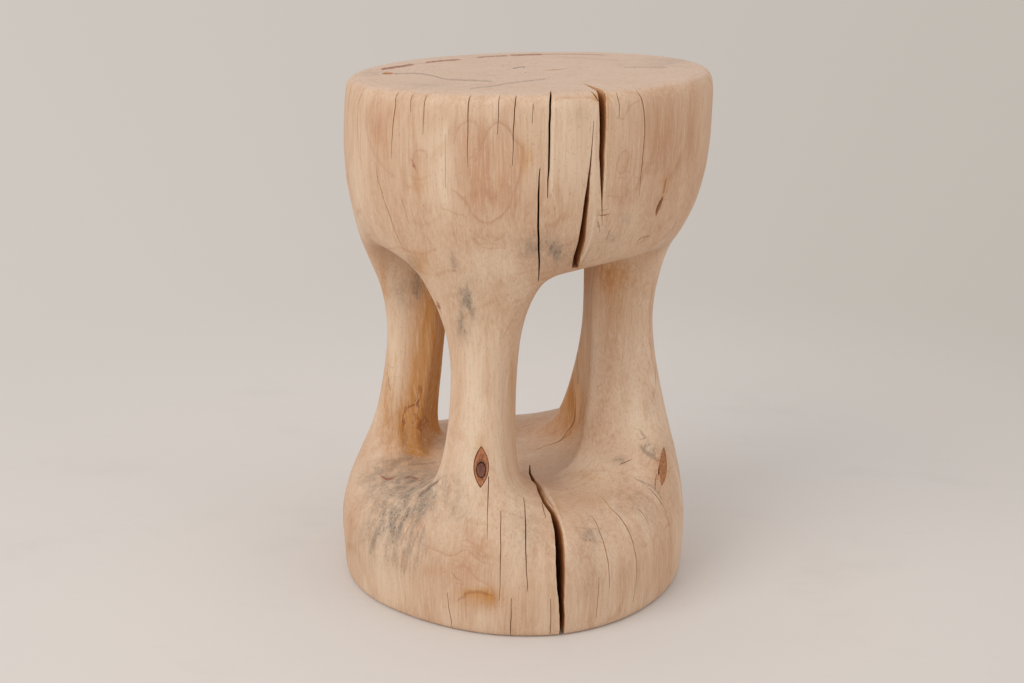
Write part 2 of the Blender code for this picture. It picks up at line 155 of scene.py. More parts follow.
@dataclass(frozen=True)
class PhotoCamera:
    """The photograph's camera: where it stood, its pitch from straight down, its lens and its frame."""

    location: tuple[float, float, float] = (-0.00745, -1.212, 0.592)
    pitch: float = 72.5
    lens: float = 50.0
    sensor_width: float = 36.0
    frame_width: int = 1024
    frame_height: int = 683

    @property
    def focal_pixels(self) -> float:
        """The focal length in the photograph's pixels."""
        return self.lens / self.sensor_width * self.frame_width

    def sight_line(self, pixel: Pixel) -> tuple[Vector, Vector]:
        """The line of sight through a pixel.

        Args:
            pixel: the pixel's column and row in the photograph.

        Returns:
            Where the line starts and its direction.
        """
        across = (pixel[0] - self.frame_width / 2) / self.focal_pixels
        down = (pixel[1] - self.frame_height / 2) / self.focal_pixels
        direction = Vector((across, -down, -1)).normalized()
        direction.rotate(Euler((math.radians(self.pitch), 0, 0)))
        return Vector(self.location), direction

    def pixels_of(self, points: np.ndarray) -> np.ndarray:
        """Where points appear in the photograph.

        Args:
            points: the points, one a row.

        Returns:
            The column and row of each, one a row.
        """
        turn = np.array(Euler((math.radians(self.pitch), 0, 0)).to_matrix())
        seen = (points - np.array(self.location)) @ turn
        scale = self.focal_pixels / -seen[:, 2]
        return np.stack(
            (self.frame_width / 2 + seen[:, 0] * scale, self.frame_height / 2 - seen[:, 1] * scale), axis=1
        )

    def place(self) -> None:
        """Adds the camera to the scene and looks through it."""
        data = bpy.data.cameras.new("photo_camera")
        data.lens, data.sensor_width = self.lens, self.sensor_width
        camera = bpy.data.objects.new("photo_camera", data)
        camera.location = self.location
        camera.rotation_euler = (math.radians(self.pitch), 0, 0)
        bpy.context.scene.collection.objects.link(camera)
        bpy.context.scene.camera = camera


@dataclass(frozen=True)
class Leg:
    """A leg: where its faces stand, its width at the waist, and by what shares of it the leg widens."""

    azimuth: float
    heart_azimuth: float
    reach: float
    heart_reach: float
    width: float
    head_widening_share: float
    foot_widening_share: float
    head_flare_share: float
    foot_flare_share: float
    foot_edge_share: float
    heart_slope_share: float = 0.0

    def spread(self, row: "Row", radius: float) -> float:
        """Half the angle that the leg spans in a row, in degrees."""
        head = row.head_share * self.head_widening_share
        foot = row.foot_share * self.foot_widening_share
        return math.degrees(self.width * (row.spread_share / 2 + head + foot) / radius)

    def flare(self, row: "Row") -> float:
        """How far the leg's outer face stands out in a row."""
        return self.width * (row.head_share * self.head_flare_share + row.foot_share * self.foot_flare_share)

    def lean_in(self, height: float) -> float:
        """How far the heart's face has leant in at a height."""
        return self.heart_slope_share * min(max(0.0, height - BASE_HEIGHT), HEART_LEAN_HEIGHT)


@dataclass(frozen=True)
class Row:
    """A ring of a skin, in shares: on the line of a leg, and on the line midway between two legs.

    A reach share runs from the axis, 0, by the waist, 1, to the log's full radius, 2. A height share runs
    from the underside, 0, by the base's top, 1, and the seat's underside, 2, to the top, 3.
    """

    leg_reach_share: float
    leg_height_share: float
    web_reach_share: float
    web_height_share: float
    spread_share: float
    head_share: float = 0.0
    foot_share: float = 0.0


@dataclass(frozen=True)
class Swell:
    """A shallow swell, or a hollow where its depth share is below zero, in the log's outline."""

    azimuth: float
    half_angle: float
    height_share: float
    half_height_share: float
    depth_share: float

    def depth_at(self, azimuth: float, height: float) -> float:
        """How far the outline stands out at an azimuth and height because of this swell."""
        turn = ((azimuth - self.azimuth + 180) % 360 - 180) / self.half_angle
        climb = (height / STOOL_HEIGHT - self.height_share) / self.half_height_share
        return self.depth_share * math.exp(-(turn**2) - climb**2) * SWELL_DEPTH


LEFT_LEG = Leg(
    azimuth=-109,
    heart_azimuth=-108,
    reach=LEFT_LEG_REACH,
    heart_reach=LEFT_LEG_HEART_REACH,
    width=LEFT_LEG_WIDTH,
    head_widening_share=0.62,
    foot_widening_share=0.12,
    head_flare_share=0.21,
    foot_flare_share=0.0,
    foot_edge_share=0.80,
    heart_slope_share=0.18,
)
FRONT_LEG = Leg(
    azimuth=-18.9,
    heart_azimuth=-18.9,
    reach=FRONT_LEG_REACH,
    heart_reach=FRONT_LEG_HEART_REACH,
    width=FRONT_LEG_WIDTH,
    head_widening_share=0.32,
    foot_widening_share=-0.09,
    head_flare_share=0.07,
    foot_flare_share=0.0,
    foot_edge_share=0.40,
)
RIGHT_LEG = Leg(
    azimuth=104,
    heart_azimuth=100,
    reach=RIGHT_LEG_REACH,
    heart_reach=RIGHT_LEG_HEART_REACH,
    width=RIGHT_LEG_WIDTH,
    head_widening_share=0.31,
    foot_widening_share=0.67,
    head_flare_share=0.02,
    foot_flare_share=0.14,
    foot_edge_share=0.30,
)
LEGS = (LEFT_LEG, FRONT_LEG, RIGHT_LEG)
FACES_PER_LEG = LEG_FACES + WINDOW_FACES
COLUMNS = len(LEGS) * FACES_PER_LEG

OUTER_ROWS = (
    Row(0.62, 0.00, 0.62, 0.00, 1.90),
    Row(1.72, 0.00, 1.72, 0.00, 1.90),
    Row(1.91, 0.00, 1.91, 0.00, 1.90),
    Row(1.95, 0.08, 1.95, 0.08, 1.90),
    Row(1.99, 0.36, 1.99, 0.32, 1.90),
    Row(1.97, 0.64, 1.97, 0.58, 1.85),
    Row(1.79, 0.93, 1.74, 0.83, 1.75, foot_share=0.5),
    Row(1.48, 1.10, 1.39, 0.96, 1.35, foot_share=1.0),
    Row(1.24, 1.23, 0.96, 1.00, 1.05, foot_share=1.0),
    Row(1.06, 1.42, 0.85, 1.42, 0.90, foot_share=0.5),
    Row(1.00, 1.60, 0.85, 1.60, 0.85),
    Row(1.05, 1.78, 0.85, 1.78, 0.90, head_share=0.4),
    Row(1.24, 1.92, 1.05, 1.99, 1.05, head_share=1.0),
    Row(1.54, 2.06, 1.40, 2.02, 1.40, head_share=0.6),
    Row(1.82, 2.26, 1.73, 2.20, 1.75),
    Row(1.95, 2.50, 1.94, 2.46, 1.85),
    Row(1.97, 2.75, 1.97, 2.74, 1.90),
    Row(1.96, 2.91, 1.96, 2.91, 1.90),
    Row(1.88, 2.98, 1.88, 2.98, 1.90),
    Row(1.70, 3.00, 1.70, 3.00, 1.90),
    Row(1.40, 3.00, 1.40, 3.00, 1.90),
    Row(0.66, 3.00, 0.66, 3.00, 1.90),
)
SILL_ROW = 8
HEAD_ROW = 12
HEART_ROWS = {
    6: Row(0.45, 1.02, 0.45, 1.02, 1.10),
    7: Row(0.90, 1.03, 0.80, 1.01, 1.00, foot_share=0.8),
    8: Row(1.08, 1.11, 0.95, 1.01, 0.80, foot_share=0.8),
    9: Row(1.05, 1.35, 0.95, 1.35, 0.60, foot_share=0.4),
    10: Row(1.00, 1.58, 0.95, 1.58, 0.55),
    11: Row(1.00, 1.79, 0.95, 1.79, 0.60, head_share=0.1),
    12: Row(1.04, 1.94, 0.95, 2.04, 0.80, head_share=0.3),
    13: Row(0.88, 2.04, 0.80, 2.06, 1.00, head_share=0.3),
    14: Row(0.45, 2.08, 0.45, 2.08, 1.10),
}
SWELLS = (
    Swell(azimuth=18.0, half_angle=30.0, height_share=0.05, half_height_share=0.20, depth_share=1.0),
    Swell(azimuth=-33.0, half_angle=26.0, height_share=0.05, half_height_share=0.20, depth_share=-1.0),
    Swell(azimuth=-31.0, half_angle=6.0, height_share=0.78, half_height_share=0.12, depth_share=-0.5),
    Swell(azimuth=-100.0, half_angle=50.0, height_share=0.96, half_height_share=0.08, depth_share=-0.6),
    Swell(azimuth=-85.0, half_angle=45.0, height_share=0.17, half_height_share=0.12, depth_share=0.7),
    Swell(azimuth=-85.0, half_angle=35.0, height_share=0.05, half_height_share=0.05, depth_share=-0.5),
    Swell(azimuth=85.0, half_angle=40.0, height_share=0.68, half_height_share=0.06, depth_share=-0.7),
)


def height_of(share: float) -> float:
    """The height at a height share: 0 underside, 1 base top, 2 seat underside, 3 seat."""
    stops = (0.0, BASE_HEIGHT, STOOL_HEIGHT - SEAT_DEPTH, STOOL_HEIGHT)
    zone = min(max(int(share), 0), len(stops) - 2)
    return mix(stops[zone], stops[zone + 1], share - zone)


def reach_of(share: float, waist: float) -> float:
    """The radius at a reach share: 0 axis, 1 waist, 2 full log."""
    return share * waist if share < 1 else mix(waist, LOG_RADIUS, share - 1)


def radial(azimuth: float) -> Vector:
    """The level direction of an azimuth."""
    angle = math.radians(azimuth)
    return Vector((math.sin(angle), -math.cos(angle), 0))


def polar(azimuth: float, radius: float, height: float) -> Vector:
    """A point about the log's leaning centre line.

    Args:
        azimuth: the point's azimuth in degrees.
        radius: how far it lies from the centre line.
        height: how far it lies above the floor, before the top's slope.

    Returns:
        The point.
    """
    offset = radial(azimuth) * radius
    lean = SEAT_LEAN * (height / STOOL_HEIGHT - 0.5)
    seat_share = max(0.0, 1 - (STOOL_HEIGHT - height) / SEAT_DEPTH)
    return offset + Vector((lean, 0, height + SEAT_RISE * offset.x / LOG_RADIUS * seat_share))


def pith_at(height: float) -> Vector:
    """Where the pith crosses a height."""
    return Vector((PITH_X + PITH_LEAN * height / STOOL_HEIGHT, PITH_Y, height))


def extrude_rings(
    bm: bmesh.types.BMesh, count: int, rings: int, ring_made: Callable[[list[bmesh.types.BMVert], int], None]
) -> None:
    """Builds a closed skin by extruding a ring of points.

    Args:
        bm: the mesh that the skin is built in.
        count: how many points each ring has.
        rings: how many rings there are.
        ring_made: sets the points of a ring, given them and the ring's number.
    """
    verts = bmesh.ops.create_circle(bm, segments=count, radius=1.0)["verts"]
    edges = list({edge for vert in verts for edge in vert.link_edges})
    ring_made(verts, 0)
    bmesh.ops.contextual_create(bm, geom=edges)
    for index in range(1, rings):
        made = bmesh.ops.extrude_edge_only(bm, edges=edges)["geom"]
        verts = [item for item in made if isinstance(item, bmesh.types.BMVert)]
        rim = set(verts)
        edges = [item for item in made if isinstance(item, bmesh.types.BMEdge) and rim.issuperset(item.verts)]
        ring_made(verts, index)
    bmesh.ops.contextual_create(bm, geom=edges)


def mesh_object(name: str, bm: bmesh.types.BMesh) -> bpy.types.Object:
    """Turns a finished bmesh into an object with its faces pointing outwards.

    Args:
        name: the object's and the mesh's name.
        bm: the bmesh, which is freed.

    Returns:
        The object, linked to the scene.
    """
    bmesh.ops.recalc_face_normals(bm, faces=bm.faces)
    mesh = bpy.data.meshes.new(name)
    bm.to_mesh(mesh)
    bm.free()
    item = bpy.data.objects.new(name, mesh)
    bpy.context.scene.collection.objects.link(item)
    return item


def applied(item: bpy.types.Object) -> bpy.types.Mesh:
    """Applies an object's modifiers and returns its new mesh."""
    depsgraph = bpy.context.evaluated_depsgraph_get()
    depsgraph.update()
    mesh = bpy.data.meshes.new_from_object(item.evaluated_get(depsgraph))
    item.modifiers.clear()
    item.data = mesh
    return mesh


class StoolCage:
    """The coarse cage of the whole carving, whose points know their column, row and depth."""

    def __init__(self) -> None:
        """Builds the two skins and joins them round the windows."""
        self.bm = bmesh.new()
        self.column = self.bm.verts.layers.int.new("column")
        self.row = self.bm.verts.layers.int.new("row")
        self.depth = self.bm.verts.layers.float.new("depth")
        self.add_skin(range(len(OUTER_ROWS)), 0)
        self.add_skin(sorted(HEART_ROWS), 1)
        bmesh.ops.delete(self.bm, geom=self.window_faces(), context="FACES")
        self.add_reveals()
        for vert in self.bm.verts:
            vert.co = self.cage_point(vert[self.column], vert[self.row], vert[self.depth])

    @staticmethod
    def column_place(column: int) -> tuple[Leg, Leg, float]:
        """A column's leg, the next leg, and its place: -1 to 1 over the leg, then to 3 over the window."""
        index, step = divmod(column, FACES_PER_LEG)
        leg, following = LEGS[index], LEGS[(index + 1) % len(LEGS)]
        if step <= LEG_FACES:
            return leg, following, 2 * step / LEG_FACES - 1
        return leg, following, 1 + 2 * (step - LEG_FACES) / WINDOW_FACES

    @staticmethod
    def web_share_at(leg: Leg, following: Leg, place: float, row: Row) -> float:
        """How far a point has gone from a leg's line, 0, to the line midway between two legs, 1."""
        nearest = leg if place < 2 else following
        edge_share = mix(LEG_EDGE_SHARE, nearest.foot_edge_share, row.foot_share)
        return edge_share * place**2 if place <= 1 else 1 - (1 - edge_share) * (place - 2) ** 2

    def skin_point(self, column: int, row: Row, inner: bool) -> Vector:
        """A point of the outer skin or of the heart's.

        Args:
            column: the point's column.
            row: the ring that it lies in.
            inner: whether it lies on the heart's skin.

        Returns:
            The point.
        """
        leg, following, place = self.column_place(column)
        across = max(0.0, (place - 1) / 2)
        web_share = self.web_share_at(leg, following, place, row)
        pair = (leg, following)
        azimuths = [member.heart_azimuth if inner else member.azimuth for member in pair]
        faces = [member.heart_reach if inner else member.reach for member in pair]
        spreads = [member.spread(row, face) for member, face in zip(pair, faces)]
        if azimuths[1] < azimuths[0]:
            azimuths[1] += 360
        if place <= 1:
            azimuth = azimuths[0] + spreads[0] * place
        else:
            azimuth = mix(azimuths[0] + spreads[0], azimuths[1] - spreads[1], across)
        height = height_of(mix(row.leg_height_share, row.web_height_share, web_share))
        reach_share = mix(row.leg_reach_share, row.web_reach_share, web_share)
        face = mix(faces[0], faces[1], across)
        if inner:
            lean_in = mix(leg.lean_in(height), following.lean_in(height), across)
            return polar(azimuth, reach_share * face - lean_in, height)
        flare = (1 - web_share) * mix(leg.flare(row), following.flare(row), across)
        swell = sum(item.depth_at(azimuth, height) for item in SWELLS)
        return polar(azimuth, reach_of(reach_share, face) + swell + flare, height)

    def cage_point(self, column: int, row_index: int, depth: float) -> Vector:
        """A cage point: depth 0 is on the outer skin, 1 on the heart's, between them on a window's reveal."""
        if depth == 0:
            return self.skin_point(column, OUTER_ROWS[row_index], inner=False)
        if depth == 1:
            return self.skin_point(column, HEART_ROWS[row_index], inner=True)
        outer, inner = self.cage_point(column, row_index, 0), self.cage_point(column, row_index, 1)
        window = column // FACES_PER_LEG * FACES_PER_LEG + LEG_FACES + WINDOW_FACES // 2
        if column % FACES_PER_LEG == 0:
            window -= FACES_PER_LEG
        window %= COLUMNS
        middle_row = (SILL_ROW + HEAD_ROW) // 2
        middle = self.cage_point(window, middle_row, 0).lerp(self.cage_point(window, middle_row, 1), depth)
        point = outer.lerp(inner, depth)
        return point + (middle - point).normalized() * REVEAL_BULGE * math.sin(math.pi * depth)

    def add_skin(self, rows: Sequence[int], depth: int) -> None:
        """Adds a skin of rings, whose points remember their column, row and depth."""

        def ring_made(verts: list[bmesh.types.BMVert], index: int) -> None:
            """Numbers and places one ring's points."""
            if index == 0:
                for column, vert in enumerate(verts):
                    vert[self.column] = column
            for vert in verts:
                vert[self.row] = rows[index]
                vert[self.depth] = depth
                vert.co = self.cage_point(vert[self.column], rows[index], depth)

        extrude_rings(self.bm, COLUMNS, len(rows), ring_made)

    def window_faces(self) -> list[bmesh.types.BMFace]:
        """The faces of both skins that lie between two legs, from sill to head."""
        found = []
        for face in self.bm.faces:
            steps = [vert[self.column] % FACES_PER_LEG for vert in face.verts]
            rows = [vert[self.row] for vert in face.verts]
            between_legs = all(step >= LEG_FACES or step == 0 for step in steps) and max(steps) > LEG_FACES
            if between_legs and SILL_ROW <= min(rows) < max(rows) <= HEAD_ROW:
                found.append(face)
        return found

    def add_reveals(self) -> None:
        """Joins the two skins round each window, with a few rows of faces through the wall."""
        old_faces = set(self.bm.faces)
        open_edges = [edge for edge in self.bm.edges if edge.is_boundary]
        for window in range(len(LEGS)):
            first = window * FACES_PER_LEG + LEG_FACES
            columns = {(first + step) % COLUMNS for step in range(WINDOW_FACES + 1)}
            loops = [edge for edge in open_edges if all(vert[self.column] in columns for vert in edge.verts)]
            bmesh.ops.bridge_loops(self.bm, edges=loops)
        rungs = {
            edge
            for face in set(self.bm.faces) - old_faces
            for edge in face.edges
            if edge.verts[0][self.depth] != edge.verts[1][self.depth]
        }
        bmesh.ops.subdivide_edges(self.bm, edges=list(rungs), cuts=REVEAL_FACES - 1, use_grid_fill=True)


class Surface:
    """The uncut wood's surface: finds points on it along sight lines and from the side."""

    most_lowering = 5

    def __init__(self, item: bpy.types.Object, camera: PhotoCamera) -> None:
        """Reads the surface of an object whose modifiers are applied."""
        self.camera = camera
        self.tree = BVHTree.FromObject(item, bpy.context.evaluated_depsgraph_get())

    def seen_at(self, pixel: Pixel) -> tuple[Vector, Vector]:
        """What the photograph shows at a pixel, or a little below one that only just misses the wood.

        Args:
            pixel: the pixel's column and row.

        Returns:
            The point on the wood and its outward normal.
        """
        for lower in range(self.most_lowering):
            start, direction = self.camera.sight_line((pixel[0], pixel[1] + lower))
            point, normal, _, _ = self.tree.ray_cast(start, direction)
            if point is not None:
                return point, normal
        raise ValueError(f"the sight line through {pixel} misses the wood")

    def beside(self, azimuth: float, height: float) -> tuple[Vector, Vector]:
        """The outermost point at an azimuth and height.

        Args:
            azimuth: the azimuth about the centre line, in degrees.
            height: the height above the floor.

        Returns:
            The point on the wood and its outward normal.
        """
        start = polar(azimuth, 2 * LOG_RADIUS, height)
        point, normal, _, _ = self.tree.ray_cast(start, -radial(azimuth))
        if point is None:
            raise ValueError(f"there is no wood at azimuth {azimuth} and height {height}")
        return point, normal


@dataclass(frozen=True)
class Station:
    """A place on a crack's line, on the wood's surface, and how wide the crack is there."""

    point: Vector
    normal: Vector
    width: float


class Opening(Enum):
    """Which of a crack's ends run out of the wood."""

    NONE = "none"
    START = "start"
    END = "end"


@dataclass(frozen=True)
class Crack:
    """A crack. Its path's third numbers are width shares, of CRACK_WIDTH. A plumb one runs straight in."""

    name: str
    path: tuple[tuple[float, float, float], ...]
    depth: float = HAIRLINE_DEPTH
    opening: Opening = Opening.NONE
    plumb: bool = False

    def found_at(self, surface: Surface, first: float, second: float) -> tuple[Vector, Vector]:
        """The point of the wood that the photograph shows at a column and a row, and its normal."""
        return surface.seen_at((first, second))

    def stations(self, surface: Surface) -> list[Station]:
        """The crack's path on the wood."""
        return [
            Station(*self.found_at(surface, first, second), width_share * CRACK_WIDTH)
            for first, second, width_share in self.path
        ]


@dataclass(frozen=True)
class HiddenCrack(Crack):
    """A crack on a side that the photograph doesn't show: its path is in degrees and height shares."""

    def found_at(self, surface: Surface, first: float, second: float) -> tuple[Vector, Vector]:
        """The outermost point of the wood at an azimuth and a height share, and its normal."""
        return surface.beside(first, height_of(second))


class CrackBlade:
    """A blade that cuts one crack: a thin wedge, its edge towards the pith, lofted along the crack's line.

    Where it is narrower than full_depth_width it is shallower too. Its sides are hollow and rough, and flare
    out of the wood. The side shares are the depths at which they have points, besides those of the mouth.
    """

    side_shares = (0.16, 0.4, 0.7)
    least_depth_share = 0.35
    full_depth_width = 2 * CRACK_WIDTH
    hollow_power = 0.7
    flare_share = 0.3
    rough_share = 0.22
    waves_along = 0.9
    waves_inward = 3.1

    def __init__(self, crack: Crack, surface: Surface) -> None:
        """Lays the crack's line on the wood, with stations close together."""
        self.crack = crack
        self.overrun = CHECK_OVERRUN if crack.depth >= CHECK_DEPTH else HAIRLINE_OVERRUN
        self.stations = self.refined(crack.stations(surface))

    @staticmethod
    def between(first: Station, second: Station, share: float) -> Station:
        """The station that lies a share of the way between two."""
        return Station(
            first.point.lerp(second.point, share),
            first.normal.lerp(second.normal, share).normalized(),
            mix(first.width, second.width, share),
        )

    def refined(self, given: list[Station]) -> list[Station]:
        """Adds stations between the given ones and carries an open end out of the wood.

        Args:
            given: the stations of the crack's path.

        Returns:
            All the stations, from the start to the end.
        """
        found = [given[0]]
        for first, second in zip(given, given[1:]):
            steps = max(1, round((second.point - first.point).length / STATION_SPACING))
            found += [self.between(first, second, step / steps) for step in range(1, steps + 1)]
        if self.crack.opening is Opening.START:
            found.insert(0, self.carried_on(found[0], Vector((0, 0, 1))))
        if self.crack.opening is Opening.END:
            found.append(self.carried_on(found[-1], Vector((0, 0, -1))))
        return found

    @staticmethod
    def carried_on(station: Station, direction: Vector) -> Station:
        """A station beyond an open end."""
        return Station(station.point + direction * OPEN_END_LENGTH, station.normal, station.width)

    def inward(self, station: Station) -> Vector:
        """The direction in which the crack runs into the wood at a station."""
        if self.crack.plumb:
            return -station.normal
        to_pith = pith_at(station.point.z) - station.point
        return (to_pith.normalized() - station.normal).normalized()

    def wander(self, index: int) -> float:
        """How far the crack's line strays sideways at a station."""
        seed = Vector((index * STATION_SPACING / WANDER_LENGTH, sum(map(ord, self.crack.name)), 0))
        return noise.noise(seed) * WANDER_WIDTH

    def ring(self, index: int) -> list[Vector]:
        """The blade's outline at a station: down one side, round the edge and up the other.

        Args:
            index: the station's number.

        Returns:
            The outline's points.
        """
        station = self.stations[index]
        before, after = self.stations[max(index - 1, 0)], self.stations[: index + 2][-1]
        inward = self.inward(station)
        sideways = (after.point - before.point).cross(inward).normalized()
        depth_share = mix(self.least_depth_share, 1.0, station.width / self.full_depth_width)
        depth = self.crack.depth * min(1.0, depth_share)
        centre = station.point + sideways * self.wander(index)
        outside = centre - inward * self.overrun
        mouth = sideways * (station.width / 2 * (1 + self.flare_share * self.overrun / depth))
        left, right = [outside + mouth], [outside - mouth]
        for step, share in enumerate(self.side_shares, start=1):
            width = station.width / 2 * (1 - share) ** self.hollow_power
            waves = Vector((index * self.waves_along, step * self.waves_inward, 0))
            rough = self.rough_share * width * noise.noise(waves)
            left.append(centre + inward * depth * share + sideways * (width + rough))
            right.append(centre + inward * depth * share - sideways * (width - rough))
        return [*left, centre + inward * depth, *reversed(right)]

    def add_to(self, bm: bmesh.types.BMesh) -> None:
        """Adds the blade to a mesh."""

        def ring_made(verts: list[bmesh.types.BMVert], index: int) -> None:
            """Places one ring's points."""
            for vert, point in zip(verts, self.ring(index)):
                vert.co = point

        extrude_rings(bm, len(self.ring(0)), len(self.stations), ring_made)


SEAT_CRACKS = (
    Crack("seat_crack_1", opening=Opening.START, path=(
        (363.2, 91, 0.7), (358.2, 105.3, 0.7), (357.5, 123.6, 0.7), (358.9, 151.6, 0.6), (361, 161.5, 0.4),
    )),
    Crack("seat_crack_2", opening=Opening.START, path=(
        (396.5, 96, 1.1), (395.4, 106.7, 1.2), (393.3, 120.8, 1.1), (392.6, 133.4, 0.9),
        (391.6, 143.2, 0.6), (391.2, 158.7, 0.4),
    )),
    Crack("seat_crack_3", opening=Opening.START, path=((411.6, 97, 0.8), (410.6, 112.3, 0.6))),
    Crack("seat_crack_4", opening=Opening.START, path=(
        (425.3, 99, 0.9), (423.9, 112.3, 0.8), (422.8, 134.8, 0.5),
    )),
    Crack("seat_crack_6", opening=Opening.START, path=(
        (469.4, 99, 1.1), (468, 123.6, 1.0), (467.4, 143.2, 0.8), (467.7, 167, 0.5),
    )),
    Crack("seat_crack_7", opening=Opening.START, path=(
        (499.5, 98, 0.7), (498.5, 115.2, 0.7), (497.4, 134.8, 0.5),
    )),
    Crack("seat_crack_8", opening=Opening.START, path=(
        (515.4, 99, 1.0), (514.4, 115.2, 1.0), (513.3, 134.8, 0.9), (512.6, 165.7, 0.5),
    )),
    Crack("seat_crack_9", path=((533.3, 103.9, 0.5), (532.2, 123.6, 0.4))),
    Crack("seat_crack_10", depth=CRACK_DEPTH, opening=Opening.START, path=(
        (550.5, 96, 1.8), (550, 106.7, 2.0), (549.5, 129.2, 2.0), (549, 167, 1.8), (548, 179.7, 1.2),
        (547.4, 198, 0.6),
    )),
    Crack("seat_crack_11", depth=CRACK_DEPTH, path=(
        (540, 168.5, 0.8), (539.2, 179.7, 1.2), (538.5, 193.7, 1.8), (538.1, 227.4, 2.0),
        (538.8, 245.6, 2.0), (539.2, 265, 1.6), (538.5, 281, 0.8),
    )),
    Crack("seat_check", depth=CHECK_DEPTH, opening=Opening.END, path=(
        (593.9, 120.8, 0.5), (592.3, 143.2, 0.8), (590.2, 167, 1.6), (588.8, 179.7, 2.5),
        (586.6, 202.1, 5.0), (584.5, 219, 5.4), (581.7, 241.4, 7.4), (577.5, 256, 7.7),
    )),
    Crack("rim_check", depth=CHECK_DEPTH, opening=Opening.START, path=(
        (602.4, 100.5, 7.2), (603.0, 109.5, 7.4), (602.8, 132, 6.6), (602.0, 157.3, 5.6),
        (602.1, 179.7, 3.8), (601.9, 202.1, 1.2), (601.9, 226, 0.4),
    )),
    Crack("seat_crack_12", opening=Opening.START, path=(
        (617.5, 97, 0.8), (619.6, 105.3, 0.8), (618.9, 118, 0.4),
    )),
    Crack("seat_crack_13", opening=Opening.START, path=(
        (638, 93, 0.7), (641.4, 98, 1.0), (644.2, 111, 1.1), (644.6, 136.2, 1.0), (642.8, 157.3, 0.9),
        (640.7, 178.3, 0.7), (639, 196.5, 0.4),
    )),
    Crack("seat_crack_14", path=((703.8, 84, 0.7), (705.5, 94.1, 0.5))),
    Crack("knot_hole", depth=KNOT_HOLE_DEPTH, path=(
        (663.1, 196.5, 1.5), (661, 201, 5.0), (658.9, 206.4, 6.3), (657.3, 211, 5.0), (656.1, 215.5, 1.5),
    )),
    Crack("seat_crack_15", path=(
        (650.5, 236.1, 0.6), (643.5, 237.2, 0.8), (639.3, 239.3, 0.8), (633.7, 245.6, 0.4),
    )),
    Crack("seat_crack_16", path=((667.3, 227.4, 0.5), (663.1, 230.9, 0.6))),
    Crack("seat_crack_17", path=((609.8, 230, 0.5), (606.3, 240, 0.4))),
    Crack("seat_crack_18", path=(
        (375.8, 161.5, 0.5), (377.9, 179.7, 0.8), (382.1, 193.7, 0.9), (390.5, 217.6, 0.8),
        (398.9, 240, 0.6), (406, 252.7, 0.4),
    )),
    Crack("pith_crack", depth=CRACK_DEPTH, plumb=True, path=(
        (543.5, 70.6, 0.6), (548, 70.3, 3.0), (554, 69.9, 4.5), (561, 69.3, 3.0), (567.8, 68.2, 0.6),
    )),
    Crack("seat_crack_20", path=((445.3, 134, 0.3), (445.2, 160, 0.5), (445.6, 188, 0.3))),
    Crack("seat_crack_19", path=((401.7, 199.3, 0.5), (408.8, 223.2, 0.4))),
)
